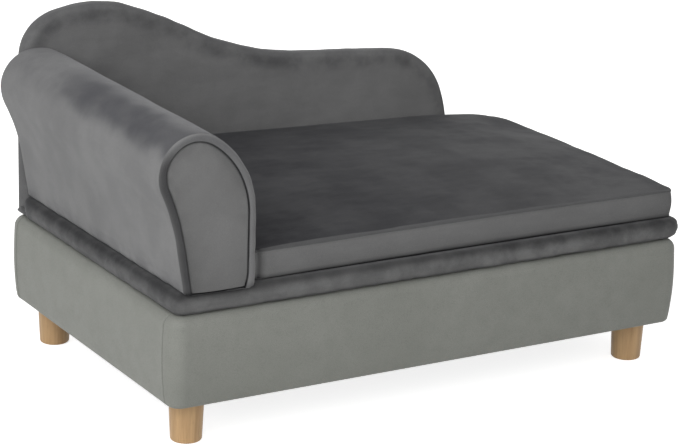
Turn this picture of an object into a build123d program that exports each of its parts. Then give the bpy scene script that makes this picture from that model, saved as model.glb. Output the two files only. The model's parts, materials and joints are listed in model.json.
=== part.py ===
from build123d import *
import os
from math import atan2, cos, pi, radians, sin, sqrt, tan

# Dog sofa bed with a storage box under a hinged top.
# Millimetres, +Z up, the front faces -Y, the origin is on the floor under the middle of the object.

# Storage box
base_length = 750.0
base_depth = 482.0
base_height = 115.0
base_corner_radius = 20.0
base_top_roundover = 14.5
base_bottom_roundover = 6.0
leather_thickness = 1.0
leather_lip_depth = 25.0
leather_flange_width = 30.0
base_side_foam = 9.0
base_rim_foam = 2.0
panel_thickness = 12.0
panel_corner_rounding = 8.0
bottom_board_thickness = 12.0
corner_block_size = 24.0
corner_block_height = 74.0
lining_thickness = 1.0
cloth_clearance = 0.3

# Legs
leg_height = 57.0
leg_top_radius = 22.0
leg_bottom_radius = 19.5
leg_bottom_rounding = 3.0
leg_side_inset = 43.0
leg_end_inset = 47.0
leg_bolt_radius = 4.0
leg_bolt_grip = 26.0
thread_clearance = 0.05
tee_nut_radius = 9.5
tee_nut_flange = 1.5
tee_nut_barrel_radius = 5.2
tee_nut_barrel = 8.5

# Lid
lid_gap = 0.3
lid_end_inset = 4.0
lid_side_inset = 5.0
lid_height = 27.0
lid_corner_radius = 15.0
lid_top_roundover = 8.5
lid_bottom_roundover = 8.0
lid_board_thickness = 12.0
lid_board_edge_chamfer = 4.0
lid_edge_foam = 3.0
lid_flange_width = 28.0
velvet_thickness = 1.2
seat_gap = 0.3

# Arm, a scroll that leans outwards
arm_foot_inset = 14.4
arm_foot_width = 95.6
arm_lean_share = 0.165
arm_shoulder_height = 90.2
arm_shoulder_radius = 115.0
arm_scroll_radius = 49.2
arm_scroll_turn = 58.0
arm_neck_radius = 290.0
arm_front_roundover = 5.0
arm_band_width = 10.0
arm_board_thickness = 12.0
arm_base_board_thickness = 15.0
arm_base_board_margin = 12.0
arm_rail_size = 18.0
arm_rail_margin = 1.5
facing_thickness = 7.0
facing_recess = 0.8
facing_rounding = 2.5
facing_clearance = 0.3

# Back, a wave that falls from a crest over the arm
back_left_inset = 9.0
back_length = 666.0
back_rise = 252.5
back_thickness = 25.0
back_rear_inset = 3.0
back_edge_rounding = 7.0
back_board_thickness = 10.0
back_front_foam = 6.0
back_edge_foam = 8.0

# Where the wave's arcs meet, as shares of the back's length and rise
back_wave_shares = [
    (0.0, 0.7153),
    (0.0713, 0.968),
    (0.2443, 0.9571),
    (0.3657, 0.8196),
    (0.6388, 0.6251),
    (0.8513, 0.587),
    (0.9803, 0.3304),
]

# Seat cushion
cushion_right_inset = 5.0
cushion_front_inset = 16.0
cushion_side_gap = 0.5
cushion_rear_gap = 4.2
cushion_band = 36.0
cushion_crown = 19.0
cushion_rear_crown = 15.0
cushion_end_crown = 4.0
cushion_band_bulge = 2.0
cushion_draw_in = 4.0
cushion_station_shares = (-1.0, -0.86, -0.5, 0.0, 0.5, 0.86, 1.0)
zip_length = 430.0
zip_width = 20.0
zip_thickness = 0.8
slider_length = 12.0
slider_width = 9.0
slider_thickness = 2.4
slider_running_gap = 0.2
slider_rounding = 0.8

# Hinges
hinge_spacing = 440.0
hinge_width = 60.0
hinge_leaf_thickness = 1.5
hinge_knuckle_radius = 3.5
hinge_pin_radius = 1.5
hinge_running_gap = 0.05
hinge_knuckle_gap = 0.3
hinge_knuckles = 5
hinge_axis_inset = 2.5
hinge_pocket_gap = 0.7
hinge_screw_spacing = 34.0

# Wood screws
screw_radius = 1.6
screw_head_radius = 3.0
screw_head_depth = 1.2
screw_clearance = 0.06
hinge_screw_length = 11.0
stay_screw_length = 9.0
long_screw_radius = 2.2
long_screw_head_radius = 4.2
long_screw_head_depth = 2.4
arm_screw_length = 38.0
back_screw_length = 50.0
arm_screw_spread = 40.0
arm_screw_end_inset = 91.0
back_screw_shares = (0.1, 0.5, 0.9)

# Lid stays: an equal-sided four-bar linkage with its corners at the hinge, the two brackets and the knee
stay_arm_length = 150.0
stay_base_droop = 20.0
stay_lid_droop = 5.0
stay_bar_width = 14.0
stay_bar_thickness = 2.0
stay_plate_thickness = 1.5
stay_side_gap = 0.3
stay_stud_radius = 3.0
stay_stud_gap = 0.05
stay_knee_gap = 0.35
stay_head_radius = 5.0
stay_head_thickness = 1.0
stay_base_plate_length = 44.0
stay_base_plate_height = 22.0
stay_base_screw_spacing = 30.0
stay_lid_plate_length = 50.0
stay_lid_plate_width = 24.0
stay_lid_screw_spacing = 32.0
stay_corner_rounding = 4.0

overrun = 5.0

# Heights
base_bottom_z = leg_height
base_top_z = base_bottom_z + base_height
bottom_board_z = base_bottom_z + leather_thickness
panel_bottom_z = bottom_board_z + bottom_board_thickness
panel_top_z = base_top_z - leather_thickness - base_rim_foam
panel_height = panel_top_z - panel_bottom_z
lid_bottom_z = base_top_z + lid_gap
lid_top_z = lid_bottom_z + lid_height
lid_board_z = lid_bottom_z + velvet_thickness
upper_bottom_z = lid_top_z + seat_gap

# Places along the length: the scroll reaches further left than the box
scroll_turn = radians(arm_scroll_turn)
scroll_offset = arm_shoulder_radius - arm_scroll_radius
arm_overhang = (
    arm_shoulder_radius
    + arm_scroll_radius
    - scroll_offset * cos(scroll_turn)
    - arm_foot_inset
    - arm_foot_width
)
base_x = arm_overhang / 2
left_x = base_x - base_length / 2
right_x = base_x + base_length / 2
arm_foot_x = left_x + arm_foot_inset
arm_inner_x = arm_foot_x + arm_foot_width
back_left_x = left_x + back_left_inset
hinge_xs = (base_x - hinge_spacing / 2, base_x + hinge_spacing / 2)

# Places along the depth
front_y = -base_depth / 2
rear_y = base_depth / 2
back_rear_y = rear_y - back_rear_inset
back_front_y = back_rear_y - back_thickness
arm_rear_y = back_front_y - seat_gap
arm_length = arm_rear_y - front_y
panel_inset = leather_thickness + base_side_foam
panel_length = base_length - 2 * panel_inset
panel_depth = base_depth - 2 * panel_inset
store_length = panel_length - 2 * panel_thickness
store_depth = panel_depth - 2 * panel_thickness
store_rear_y = store_depth / 2
panel_middle_y = store_rear_y + panel_thickness / 2
lid_length = base_length - 2 * lid_end_inset
lid_depth = base_depth - 2 * lid_side_inset
lid_board_length = lid_length - 2 * (velvet_thickness + lid_edge_foam)
lid_board_depth = lid_depth - 2 * (velvet_thickness + lid_edge_foam)
lid_board_corner_radius = lid_corner_radius - velvet_thickness - lid_edge_foam

os.makedirs("parts", exist_ok=True)


# A finished piece is labelled and written under its node's name
def save(piece, name):
    piece.part.label = name
    export_step(piece.part, f"parts/{name}.step")


# A level plane whose origin is over the middle of the storage box
def level(z):
    return Plane(origin=(base_x, 0, z))


# An upright plane that looks towards the front, with its own x along the length and y up
def upright(y):
    return Plane(origin=(0, y, 0), x_dir=(1, 0, 0), z_dir=(0, -1, 0))


# The padded outside of the storage box, or a smaller copy that lies an inset within it
def base_form(inset):
    with BuildPart() as form:
        with BuildSketch(level(base_bottom_z + inset)):
            RectangleRounded(
                base_length - 2 * inset, base_depth - 2 * inset, base_corner_radius - inset
            )
        extrude(amount=base_height - 2 * inset)
        fillet(form.faces().sort_by(Axis.Z)[-1].edges(), base_top_roundover - inset)
        fillet(form.faces().sort_by(Axis.Z)[0].edges(), base_bottom_roundover - inset)
    return form.part


# The padded outside of the lid, or a smaller copy
def lid_form(inset):
    with BuildPart() as form:
        with BuildSketch(level(lid_bottom_z + inset)):
            RectangleRounded(
                lid_length - 2 * inset, lid_depth - 2 * inset, lid_corner_radius - inset
            )
        extrude(amount=lid_height - 2 * inset)
        fillet(form.faces().sort_by(Axis.Z)[-1].edges(), lid_top_roundover - inset)
        fillet(form.faces().sort_by(Axis.Z)[0].edges(), lid_bottom_roundover - inset)
    return form.part


# The arm's end outline: a leaning foot, a broad shoulder arc and the scroll that rolls outwards
shoulder_z = upper_bottom_z + arm_shoulder_height
shoulder_centre_x = arm_inner_x - arm_shoulder_radius
scroll_x = shoulder_centre_x + scroll_offset * cos(scroll_turn)
scroll_z = shoulder_z + scroll_offset * sin(scroll_turn)


def arm_outline(inset, foot_z):
    below_z = upper_bottom_z - arm_scroll_radius
    neck_z = scroll_z - arm_scroll_radius / 4
    left_low_x = arm_foot_x + arm_lean_share * arm_scroll_radius
    left_high_x = arm_foot_x - arm_lean_share * (neck_z - upper_bottom_z)
    shoulder_mid = scroll_turn / 2
    shoulder_end = (
        shoulder_centre_x + arm_shoulder_radius * cos(scroll_turn),
        shoulder_z + arm_shoulder_radius * sin(scroll_turn),
    )
    with BuildSketch() as outline:
        with BuildLine():
            Polyline(
                (scroll_x, scroll_z),
                (left_high_x, neck_z),
                (left_low_x, below_z),
                (arm_inner_x, below_z),
                (arm_inner_x, shoulder_z),
            )
            ThreePointArc(
                (arm_inner_x, shoulder_z),
                (
                    shoulder_centre_x + arm_shoulder_radius * cos(shoulder_mid),
                    shoulder_z + arm_shoulder_radius * sin(shoulder_mid),
                ),
                shoulder_end,
            )
            Line(shoulder_end, (scroll_x, scroll_z))
        make_face()
        with Locations((scroll_x, scroll_z)):
            Circle(arm_scroll_radius)
        fillet(outline.vertices().sort_by(Axis.X)[0], arm_neck_radius)
        if inset > 0:
            offset(amount=-inset)
        with Locations((shoulder_centre_x, foot_z)):
            Rectangle(
                2 * arm_shoulder_radius,
                2 * arm_shoulder_radius,
                align=(Align.CENTER, Align.MAX),
                mode=Mode.SUBTRACT,
            )
    return outline.sketch


# The padded outside of the arm, or a smaller copy
def arm_form(inset):
    outline = arm_outline(inset, upper_bottom_z + inset)
    with BuildPart() as form:
        with BuildSketch(upright(arm_rear_y - inset)):
            add(outline)
        extrude(amount=arm_length - 2 * inset)
        front_edges = form.faces().sort_by(Axis.Y)[0].edges().sort_by(Axis.Z)[1:]
        fillet(front_edges, arm_front_roundover - inset)
    return form.part


# The back's outline: a straight left side, then arcs that run smoothly into one another down to the
# right end, where the last arc comes to stand upright
def back_outline(inset, foot_z):
    below_z = upper_bottom_z - back_thickness
    wave = [
        (back_left_x + x_share * back_length, upper_bottom_z + z_share * back_rise)
        for x_share, z_share in back_wave_shares
    ]
    end_x = back_left_x + back_length
    with BuildSketch() as outline:
        with BuildLine():
            heading = Vector(0, 1)
            for start, end in zip(wave, wave[1:]):
                arc = TangentArc(start, end, tangent=heading)
                heading = arc % 1
            chord_turn = (atan2(heading.Y, heading.X) - pi / 2) / 2
            end_z = wave[-1][1] + (end_x - wave[-1][0]) * tan(chord_turn)
            TangentArc(wave[-1], (end_x, end_z), tangent=heading)
            Polyline((end_x, end_z), (end_x, below_z), (back_left_x, below_z), wave[0])
        make_face()
        if inset > 0:
            offset(amount=-inset)
        with Locations((back_left_x + back_length / 2, foot_z)):
            Rectangle(
                2 * back_length,
                2 * back_thickness,
                align=(Align.CENTER, Align.MAX),
                mode=Mode.SUBTRACT,
            )
    return outline.sketch


# The padded outside of the back, or a smaller copy
def back_form(inset):
    outline = back_outline(inset, upper_bottom_z + inset)
    with BuildPart() as form:
        with BuildSketch(upright(back_rear_y - inset)):
            add(outline)
        extrude(amount=back_thickness - 2 * inset)
        front_edges = form.faces().sort_by(Axis.Y)[0].edges().sort_by(Axis.Z)[1:]
        rear_edges = form.faces().sort_by(Axis.Y)[-1].edges().sort_by(Axis.Z)[1:]
        fillet(front_edges + rear_edges, back_edge_rounding - inset)
    return form.part


# A countersunk screw, or the hole for it, standing on its head at the plane and pointing along it
def screw_form(plane, radius, head_radius, head_depth, length, gap):
    with BuildPart() as form:
        with BuildSketch(plane):
            Circle(head_radius + gap)
        with BuildSketch(plane.offset(head_depth)):
            Circle(radius + gap)
        loft()
        with BuildSketch(plane.offset(head_depth)):
            Circle(radius + gap)
        extrude(amount=length - head_depth + gap)
    return form.part


# Screw places, each a plane at the screw's head that points the way the screw goes
hinge_screw_xs = [
    hinge_x + side * hinge_screw_spacing / 2 for hinge_x in hinge_xs for side in (-1, 1)
]
hinge_screw_y = panel_middle_y
hinge_base_screw_planes = [
    Plane(
        origin=(x, hinge_screw_y, panel_top_z + hinge_leaf_thickness),
        x_dir=(1, 0, 0),
        z_dir=(0, 0, -1),
    )
    for x in hinge_screw_xs
]
hinge_lid_screw_planes = [
    Plane(origin=(x, hinge_screw_y, lid_board_z - hinge_leaf_thickness)) for x in hinge_screw_xs
]
arm_foot_middle_x = (arm_foot_x + arm_inner_x) / 2
arm_screw_planes = [
    Plane(origin=(arm_foot_middle_x + side * arm_screw_spread / 2, y, lid_board_z))
    for side in (-1, 1)
    for y in (front_y + arm_screw_end_inset, arm_rear_y - arm_screw_end_inset)
]
back_board_rear_y = back_front_y + velvet_thickness + back_front_foam + back_board_thickness

# The back's screws keep clear of the hinges: one beyond the left hinge, the rest between the two
hinge_left_edge, hinge_right_edge = hinge_xs[0] + hinge_width / 2, hinge_xs[1] - hinge_width / 2
back_screw_xs = [(back_left_x + hinge_xs[0] - hinge_width / 2) / 2] + [
    hinge_left_edge + share * (hinge_right_edge - hinge_left_edge) for share in back_screw_shares
]
back_screw_planes = [
    Plane(origin=(x, back_board_rear_y - back_board_thickness / 2, lid_board_z))
    for x in back_screw_xs
]


def hinge_screw(plane, gap):
    return screw_form(
        plane, screw_radius, screw_head_radius, screw_head_depth, hinge_screw_length, gap
    )


def stay_screw(plane, gap):
    return screw_form(
        plane, screw_radius, screw_head_radius, screw_head_depth, stay_screw_length, gap
    )


def long_screw(plane, length, gap):
    return screw_form(
        plane, long_screw_radius, long_screw_head_radius, long_screw_head_depth, length, gap
    )


# Lid stay corners, in the plane of the arms: y and z of the hinge, the two brackets and the knee
hinge_y = rear_y - hinge_axis_inset
hinge_z = (panel_top_z + lid_board_z) / 2
base_droop = radians(stay_base_droop)
lid_droop = radians(stay_lid_droop)
stay_base_y = hinge_y - stay_arm_length * cos(base_droop)
stay_base_z = hinge_z - stay_arm_length * sin(base_droop)
stay_lid_y = hinge_y - stay_arm_length * cos(lid_droop)
stay_lid_z = hinge_z - stay_arm_length * sin(lid_droop)
knee_y = stay_base_y + stay_lid_y - hinge_y
knee_z = stay_base_z + stay_lid_z - hinge_z
sides = {"left": -1, "right": 1}
store_wall = store_length / 2 - lining_thickness
plate_in = stay_plate_thickness
lower_out = plate_in + stay_side_gap
lower_in = lower_out + stay_bar_thickness
upper_out = lower_in + stay_side_gap
upper_in = upper_out + stay_bar_thickness
tab_out = upper_in + stay_side_gap
tab_in = tab_out + stay_plate_thickness


# An upright plane on one side of the box that faces inwards, a depth in from its wall
def wall_plane(side, depth, y, z):
    return Plane(
        origin=(base_x + side * (store_wall - depth), y, z), x_dir=(0, -side, 0), z_dir=(-side, 0, 0)
    )


def stay_base_screw_planes(side):
    return [
        Plane(
            origin=(
                base_x + side * (store_wall - stay_plate_thickness),
                stay_base_y + step * stay_base_screw_spacing / 2,
                stay_base_z,
            ),
            x_dir=(0, 1, 0),
            z_dir=(side, 0, 0),
        )
        for step in (-1, 1)
    ]


def stay_lid_screw_planes(side):
    return [
        Plane(
            origin=(
                base_x + side * (store_wall - tab_in - stay_lid_plate_width / 2),
                stay_lid_y + step * stay_lid_screw_spacing / 2,
                lid_bottom_z - stay_plate_thickness,
            )
        )
        for step in (-1, 1)
    ]


# Padded box, its skin and its foam
base_outer = base_form(0)
base_inner = base_form(leather_thickness)
hinge_pocket_length = hinge_width + 2 * hinge_pocket_gap
hinge_knuckle_reach = hinge_knuckle_radius + hinge_pocket_gap
hinge_slot_y = store_rear_y - hinge_pocket_gap
hinge_slot_depth = rear_y + overrun - hinge_slot_y


# Room for the hinges between the box and the lid: a slot for the leaves and a trough for the knuckles
def hinge_room(bottom_z, top_z):
    with BuildPart() as room:
        for hinge_x in hinge_xs:
            with BuildSketch(Plane(origin=(hinge_x, hinge_slot_y, bottom_z))):
                Rectangle(hinge_pocket_length, hinge_slot_depth, align=(Align.CENTER, Align.MIN))
            extrude(amount=top_z - bottom_z)
            with BuildSketch(
                Plane(
                    origin=(hinge_x - hinge_pocket_length / 2, hinge_y, hinge_z),
                    x_dir=(0, 1, 0),
                    z_dir=(1, 0, 0),
                )
            ):
                Circle(hinge_knuckle_reach)
            extrude(amount=hinge_pocket_length)
    return room.part


base_hinge_room = hinge_room(panel_top_z, base_top_z + lid_gap)
lid_hinge_room = hinge_room(base_top_z, lid_board_z)

with BuildPart() as base_cover:
    add(base_outer)
    add(base_inner, mode=Mode.SUBTRACT)
    with BuildSketch(level(base_top_z - leather_lip_depth)):
        Rectangle(store_length, store_depth)
    extrude(amount=leather_lip_depth)
    with BuildSketch(level(base_top_z - leather_lip_depth)):
        Rectangle(store_length - 2 * leather_thickness, store_depth - 2 * leather_thickness)
    extrude(amount=leather_lip_depth + overrun, mode=Mode.SUBTRACT)
    with BuildSketch(level(base_bottom_z)):
        Rectangle(base_length - 2 * leather_flange_width, base_depth - 2 * leather_flange_width)
    extrude(amount=leather_thickness, mode=Mode.SUBTRACT)
    add(base_hinge_room, mode=Mode.SUBTRACT)
save(base_cover, "base_cover")

with BuildPart() as base_padding:
    add(base_inner)
    with BuildSketch(level(bottom_board_z)):
        RectangleRounded(panel_length, panel_depth, panel_corner_rounding)
    extrude(amount=panel_top_z - bottom_board_z, mode=Mode.SUBTRACT)
    with BuildSketch(level(panel_top_z)):
        Rectangle(store_length, store_depth)
    extrude(amount=base_rim_foam + overrun, mode=Mode.SUBTRACT)
    add(base_hinge_room, mode=Mode.SUBTRACT)
save(base_padding, "base_padding")

# Board walls of the box
stay_base_screw_holes = [
    stay_screw(plane, screw_clearance)
    for side in sides.values()
    for plane in stay_base_screw_planes(side)
]

with BuildPart() as base_front_panel:
    with BuildSketch(level(panel_bottom_z)):
        with Locations((0, -panel_middle_y)):
            Rectangle(panel_length, panel_thickness)
    extrude(amount=panel_height)
    outer_corners = base_front_panel.edges().filter_by(Axis.Z).group_by(Axis.Y)[0]
    fillet(outer_corners, panel_corner_rounding)
save(base_front_panel, "base_front_panel")

with BuildPart() as base_rear_panel:
    with BuildSketch(level(panel_bottom_z)):
        with Locations((0, panel_middle_y)):
            Rectangle(panel_length, panel_thickness)
    extrude(amount=panel_height)
    outer_corners = base_rear_panel.edges().filter_by(Axis.Z).group_by(Axis.Y)[-1]
    fillet(outer_corners, panel_corner_rounding)
    for plane in hinge_base_screw_planes:
        add(hinge_screw(plane, screw_clearance), mode=Mode.SUBTRACT)
save(base_rear_panel, "base_rear_panel")

for name, side in sides.items():
    with BuildPart() as side_panel:
        with BuildSketch(level(panel_bottom_z)):
            with Locations((side * (store_length + panel_thickness) / 2, 0)):
                Rectangle(panel_thickness, store_depth)
        extrude(amount=panel_height)
        for hole in stay_base_screw_holes:
            add(hole, mode=Mode.SUBTRACT)
    save(side_panel, f"base_{name}_panel")

# Legs, their bolts and the tee nuts
leg_x = base_length / 2 - leg_side_inset
leg_y = base_depth / 2 - leg_end_inset
leg_places = {
    "front_left": (base_x - leg_x, -leg_y),
    "front_right": (base_x + leg_x, -leg_y),
    "rear_left": (base_x - leg_x, leg_y),
    "rear_right": (base_x + leg_x, leg_y),
}
tee_nut_top_z = panel_bottom_z
bolt_bottom_z = base_bottom_z - leg_bolt_grip
bolt_length = panel_bottom_z - tee_nut_flange - bolt_bottom_z

for name, (x, y) in leg_places.items():
    with BuildPart() as leg:
        with Locations((x, y, 0)):
            Cone(
                leg_bottom_radius,
                leg_top_radius,
                leg_height,
                align=(Align.CENTER, Align.CENTER, Align.MIN),
            )
        fillet(leg.edges().sort_by(Axis.Z)[0], leg_bottom_rounding)
        with BuildSketch(Plane(origin=(x, y, bolt_bottom_z))):
            Circle(leg_bolt_radius + thread_clearance)
        extrude(amount=leg_bolt_grip, mode=Mode.SUBTRACT)
    save(leg, f"leg_{name}")

with BuildPart() as leg_bolts:
    for x, y in leg_places.values():
        with BuildSketch(Plane(origin=(x, y, bolt_bottom_z))):
            Circle(leg_bolt_radius)
        extrude(amount=bolt_length)
save(leg_bolts, "leg_bolts")

with BuildPart() as leg_tee_nuts:
    for x, y in leg_places.values():
        with BuildSketch(Plane(origin=(x, y, tee_nut_top_z - tee_nut_flange))):
            Circle(tee_nut_radius)
        extrude(amount=tee_nut_flange)
        with BuildSketch(Plane(origin=(x, y, tee_nut_top_z - tee_nut_flange))):
            Circle(tee_nut_barrel_radius)
        extrude(amount=-tee_nut_barrel)
        with BuildSketch(Plane(origin=(x, y, tee_nut_top_z))):
            Circle(leg_bolt_radius + thread_clearance)
        extrude(amount=-(tee_nut_flange + tee_nut_barrel), mode=Mode.SUBTRACT)
save(leg_tee_nuts, "leg_tee_nuts")

with BuildPart() as base_bottom_board:
    with BuildSketch(level(bottom_board_z)):
        RectangleRounded(panel_length, panel_depth, panel_corner_rounding)
    extrude(amount=bottom_board_thickness)
    for x, y in leg_places.values():
        with BuildSketch(Plane(origin=(x, y, tee_nut_top_z))):
            Circle(tee_nut_radius + thread_clearance)
        extrude(amount=-tee_nut_flange, mode=Mode.SUBTRACT)
        with BuildSketch(Plane(origin=(x, y, tee_nut_top_z))):
            Circle(tee_nut_barrel_radius + thread_clearance)
        extrude(amount=-bottom_board_thickness, mode=Mode.SUBTRACT)
save(base_bottom_board, "base_bottom_board")

with BuildPart() as dust_cover:
    with BuildSketch(level(base_bottom_z)):
        Rectangle(
            base_length - 2 * leather_flange_width - 2 * cloth_clearance,
            base_depth - 2 * leather_flange_width - 2 * cloth_clearance,
        )
    extrude(amount=leather_thickness)
    for x, y in leg_places.values():
        with BuildSketch(Plane(origin=(x, y, base_bottom_z))):
            Circle(leg_bolt_radius + cloth_clearance)
        extrude(amount=leather_thickness, mode=Mode.SUBTRACT)
save(dust_cover, "dust_cover")

# Corner blocks and the cloth tray that goes round them
block_x = (store_length - corner_block_size) / 2
block_y = (store_depth - corner_block_size) / 2

with BuildPart() as corner_blocks:
    with BuildSketch(level(panel_bottom_z)):
        with GridLocations(2 * block_x, 2 * block_y, 2, 2):
            Rectangle(corner_block_size, corner_block_size)
    extrude(amount=corner_block_height)
save(corner_blocks, "corner_blocks")

lining_height = panel_height - leather_lip_depth
with BuildPart() as storage_lining:
    with BuildSketch(level(panel_bottom_z)):
        Rectangle(store_length, store_depth)
        with GridLocations(2 * block_x, 2 * block_y, 2, 2):
            Rectangle(corner_block_size, corner_block_size, mode=Mode.SUBTRACT)
    extrude(amount=lining_height)
    inner_block = corner_block_size + lining_thickness
    with BuildSketch(level(panel_bottom_z + lining_thickness)):
        Rectangle(store_length - 2 * lining_thickness, store_depth - 2 * lining_thickness)
        with GridLocations(store_length - inner_block, store_depth - inner_block, 2, 2):
            Rectangle(inner_block, inner_block, mode=Mode.SUBTRACT)
    extrude(amount=lining_height, mode=Mode.SUBTRACT)
    for hole in stay_base_screw_holes:
        add(hole, mode=Mode.SUBTRACT)
save(storage_lining, "storage_lining")

# Hinges: two leaves on one pin, with their knuckles taking turns
knuckle_pitch = hinge_width / hinge_knuckles


def knuckle_plane(hinge_x, start):
    return Plane(
        origin=(hinge_x - hinge_width / 2 + start, hinge_y, hinge_z),
        x_dir=(0, 1, 0),
        z_dir=(1, 0, 0),
    )


def hinge_leaf(hinge_x, leaf_z, own_turns, screw_planes):
    with BuildPart() as leaf:
        with BuildSketch(Plane(origin=(hinge_x, store_rear_y, leaf_z))):
            Rectangle(hinge_width, hinge_y - store_rear_y, align=(Align.CENTER, Align.MIN))
        extrude(amount=hinge_leaf_thickness)
        for turn in range(hinge_knuckles):
            if turn not in own_turns:
                with BuildSketch(knuckle_plane(hinge_x, turn * knuckle_pitch)):
                    Circle(hinge_knuckle_radius + hinge_knuckle_gap)
                extrude(amount=knuckle_pitch, mode=Mode.SUBTRACT)
        for turn in own_turns:
            start = turn * knuckle_pitch + hinge_knuckle_gap / 2
            with BuildSketch(knuckle_plane(hinge_x, start)):
                Circle(hinge_knuckle_radius)
            extrude(amount=knuckle_pitch - hinge_knuckle_gap)
        with BuildSketch(knuckle_plane(hinge_x, 0)):
            Circle(hinge_pin_radius + hinge_running_gap)
        extrude(amount=hinge_width, mode=Mode.SUBTRACT)
        for plane in screw_planes:
            add(hinge_screw(plane, screw_clearance), mode=Mode.SUBTRACT)
    return leaf


for name, hinge_x in zip(sides, hinge_xs):
    base_leaf = hinge_leaf(hinge_x, panel_top_z, (0, 2, 4), hinge_base_screw_planes)
    save(base_leaf, f"hinge_base_leaf_{name}")
    lid_leaf = hinge_leaf(
        hinge_x, lid_board_z - hinge_leaf_thickness, (1, 3), hinge_lid_screw_planes
    )
    save(lid_leaf, f"hinge_lid_leaf_{name}")
    with BuildPart() as hinge_pin:
        with BuildSketch(knuckle_plane(hinge_x, 0)):
            Circle(hinge_pin_radius)
        extrude(amount=hinge_width)
    save(hinge_pin, f"hinge_pin_{name}")

with BuildPart() as hinge_base_screws:
    for plane in hinge_base_screw_planes:
        add(hinge_screw(plane, 0))
save(hinge_base_screws, "hinge_base_screws")

with BuildPart() as hinge_lid_screws:
    for plane in hinge_lid_screw_planes:
        add(hinge_screw(plane, 0))
save(hinge_lid_screws, "hinge_lid_screws")

# Lid: board, foam, velvet skin and the cloth under it
lid_outer = lid_form(0)
lid_inner = lid_form(velvet_thickness)
arm_screw_holes = [
    long_screw(plane, arm_screw_length, screw_clearance) for plane in arm_screw_planes
]
back_screw_holes = [
    long_screw(plane, back_screw_length, screw_clearance) for plane in back_screw_planes
]
upper_screw_holes = arm_screw_holes + back_screw_holes
stay_lid_screw_holes = [
    stay_screw(plane, screw_clearance)
    for side in sides.values()
    for plane in stay_lid_screw_planes(side)
]
hinge_lid_screw_holes = [hinge_screw(plane, screw_clearance) for plane in hinge_lid_screw_planes]
underlining_length = lid_length - 2 * lid_flange_width
underlining_depth = lid_depth - 2 * lid_flange_width

with BuildPart() as lid_board_blank:
    with BuildSketch(level(lid_board_z)):
        RectangleRounded(lid_board_length, lid_board_depth, lid_board_corner_radius)
    extrude(amount=lid_board_thickness)
    chamfer(lid_board_blank.faces().sort_by(Axis.Z)[0].edges(), lid_board_edge_chamfer)

with BuildPart() as lid_board:
    add(lid_board_blank.part)
    for hole in upper_screw_holes + stay_lid_screw_holes + hinge_lid_screw_holes:
        add(hole, mode=Mode.SUBTRACT)
save(lid_board, "lid_board")

with BuildPart() as lid_padding:
    add(lid_inner)
    add(lid_board_blank.part, mode=Mode.SUBTRACT)
    for hole in upper_screw_holes:
        add(hole, mode=Mode.SUBTRACT)
    add(lid_hinge_room, mode=Mode.SUBTRACT)
save(lid_padding, "lid_padding")

with BuildPart() as lid_cover:
    add(lid_outer)
    add(lid_inner, mode=Mode.SUBTRACT)
    with BuildSketch(level(lid_bottom_z)):
        Rectangle(underlining_length, underlining_depth)
    extrude(amount=velvet_thickness, mode=Mode.SUBTRACT)
    for hole in upper_screw_holes:
        add(hole, mode=Mode.SUBTRACT)
    add(lid_hinge_room, mode=Mode.SUBTRACT)
save(lid_cover, "lid_cover")

with BuildPart() as lid_underlining:
    with BuildSketch(level(lid_bottom_z)):
        Rectangle(underlining_length - 2 * cloth_clearance, underlining_depth - 2 * cloth_clearance)
    extrude(amount=velvet_thickness)
    for hole in stay_lid_screw_holes:
        add(hole, mode=Mode.SUBTRACT)
    add(lid_hinge_room, mode=Mode.SUBTRACT)
save(lid_underlining, "lid_underlining")

# Arm: end boards, foot board and rails, wrapped in foam and velvet, with a facing let into the front
arm_skin_z = upper_bottom_z + velvet_thickness
arm_core = arm_outline(arm_band_width, arm_skin_z)
facing_outline = arm_outline(arm_band_width + facing_clearance, arm_skin_z)
facing_rear_y = front_y + facing_recess + facing_thickness
front_board_rear_y = facing_rear_y + arm_board_thickness
rear_board_rear_y = arm_rear_y - velvet_thickness
rear_board_front_y = rear_board_rear_y - arm_board_thickness
arm_span = rear_board_front_y - front_board_rear_y

with BuildPart() as arm_cover:
    add(arm_form(0))
    add(arm_form(velvet_thickness), mode=Mode.SUBTRACT)
    with BuildSketch(upright(front_y + 2 * velvet_thickness)):
        add(arm_core)
    extrude(amount=overrun, mode=Mode.SUBTRACT)
    for hole in arm_screw_holes:
        add(hole, mode=Mode.SUBTRACT)
save(arm_cover, "arm_cover")

with BuildPart() as arm_padding:
    add(arm_form(velvet_thickness))
    with BuildSketch(upright(arm_rear_y)):
        add(arm_core)
    extrude(amount=arm_length, mode=Mode.SUBTRACT)
save(arm_padding, "arm_padding")

with BuildPart() as arm_front_facing:
    with BuildSketch(upright(facing_rear_y)):
        add(facing_outline)
    extrude(amount=facing_thickness)
    fillet(arm_front_facing.faces().sort_by(Axis.Y)[0].edges(), facing_rounding)
save(arm_front_facing, "arm_front_facing")

for name, board_rear_y in (("front", front_board_rear_y), ("rear", rear_board_rear_y)):
    with BuildPart() as arm_board:
        with BuildSketch(upright(board_rear_y)):
            add(arm_core)
        extrude(amount=arm_board_thickness)
    save(arm_board, f"arm_{name}_board")

with BuildPart() as arm_base_board:
    with BuildSketch(Plane(origin=(arm_foot_middle_x, front_board_rear_y, arm_skin_z))):
        Rectangle(
            arm_foot_width - 2 * arm_base_board_margin, arm_span, align=(Align.CENTER, Align.MIN)
        )
    extrude(amount=arm_base_board_thickness)
    for hole in arm_screw_holes:
        add(hole, mode=Mode.SUBTRACT)
save(arm_base_board, "arm_base_board")

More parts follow.
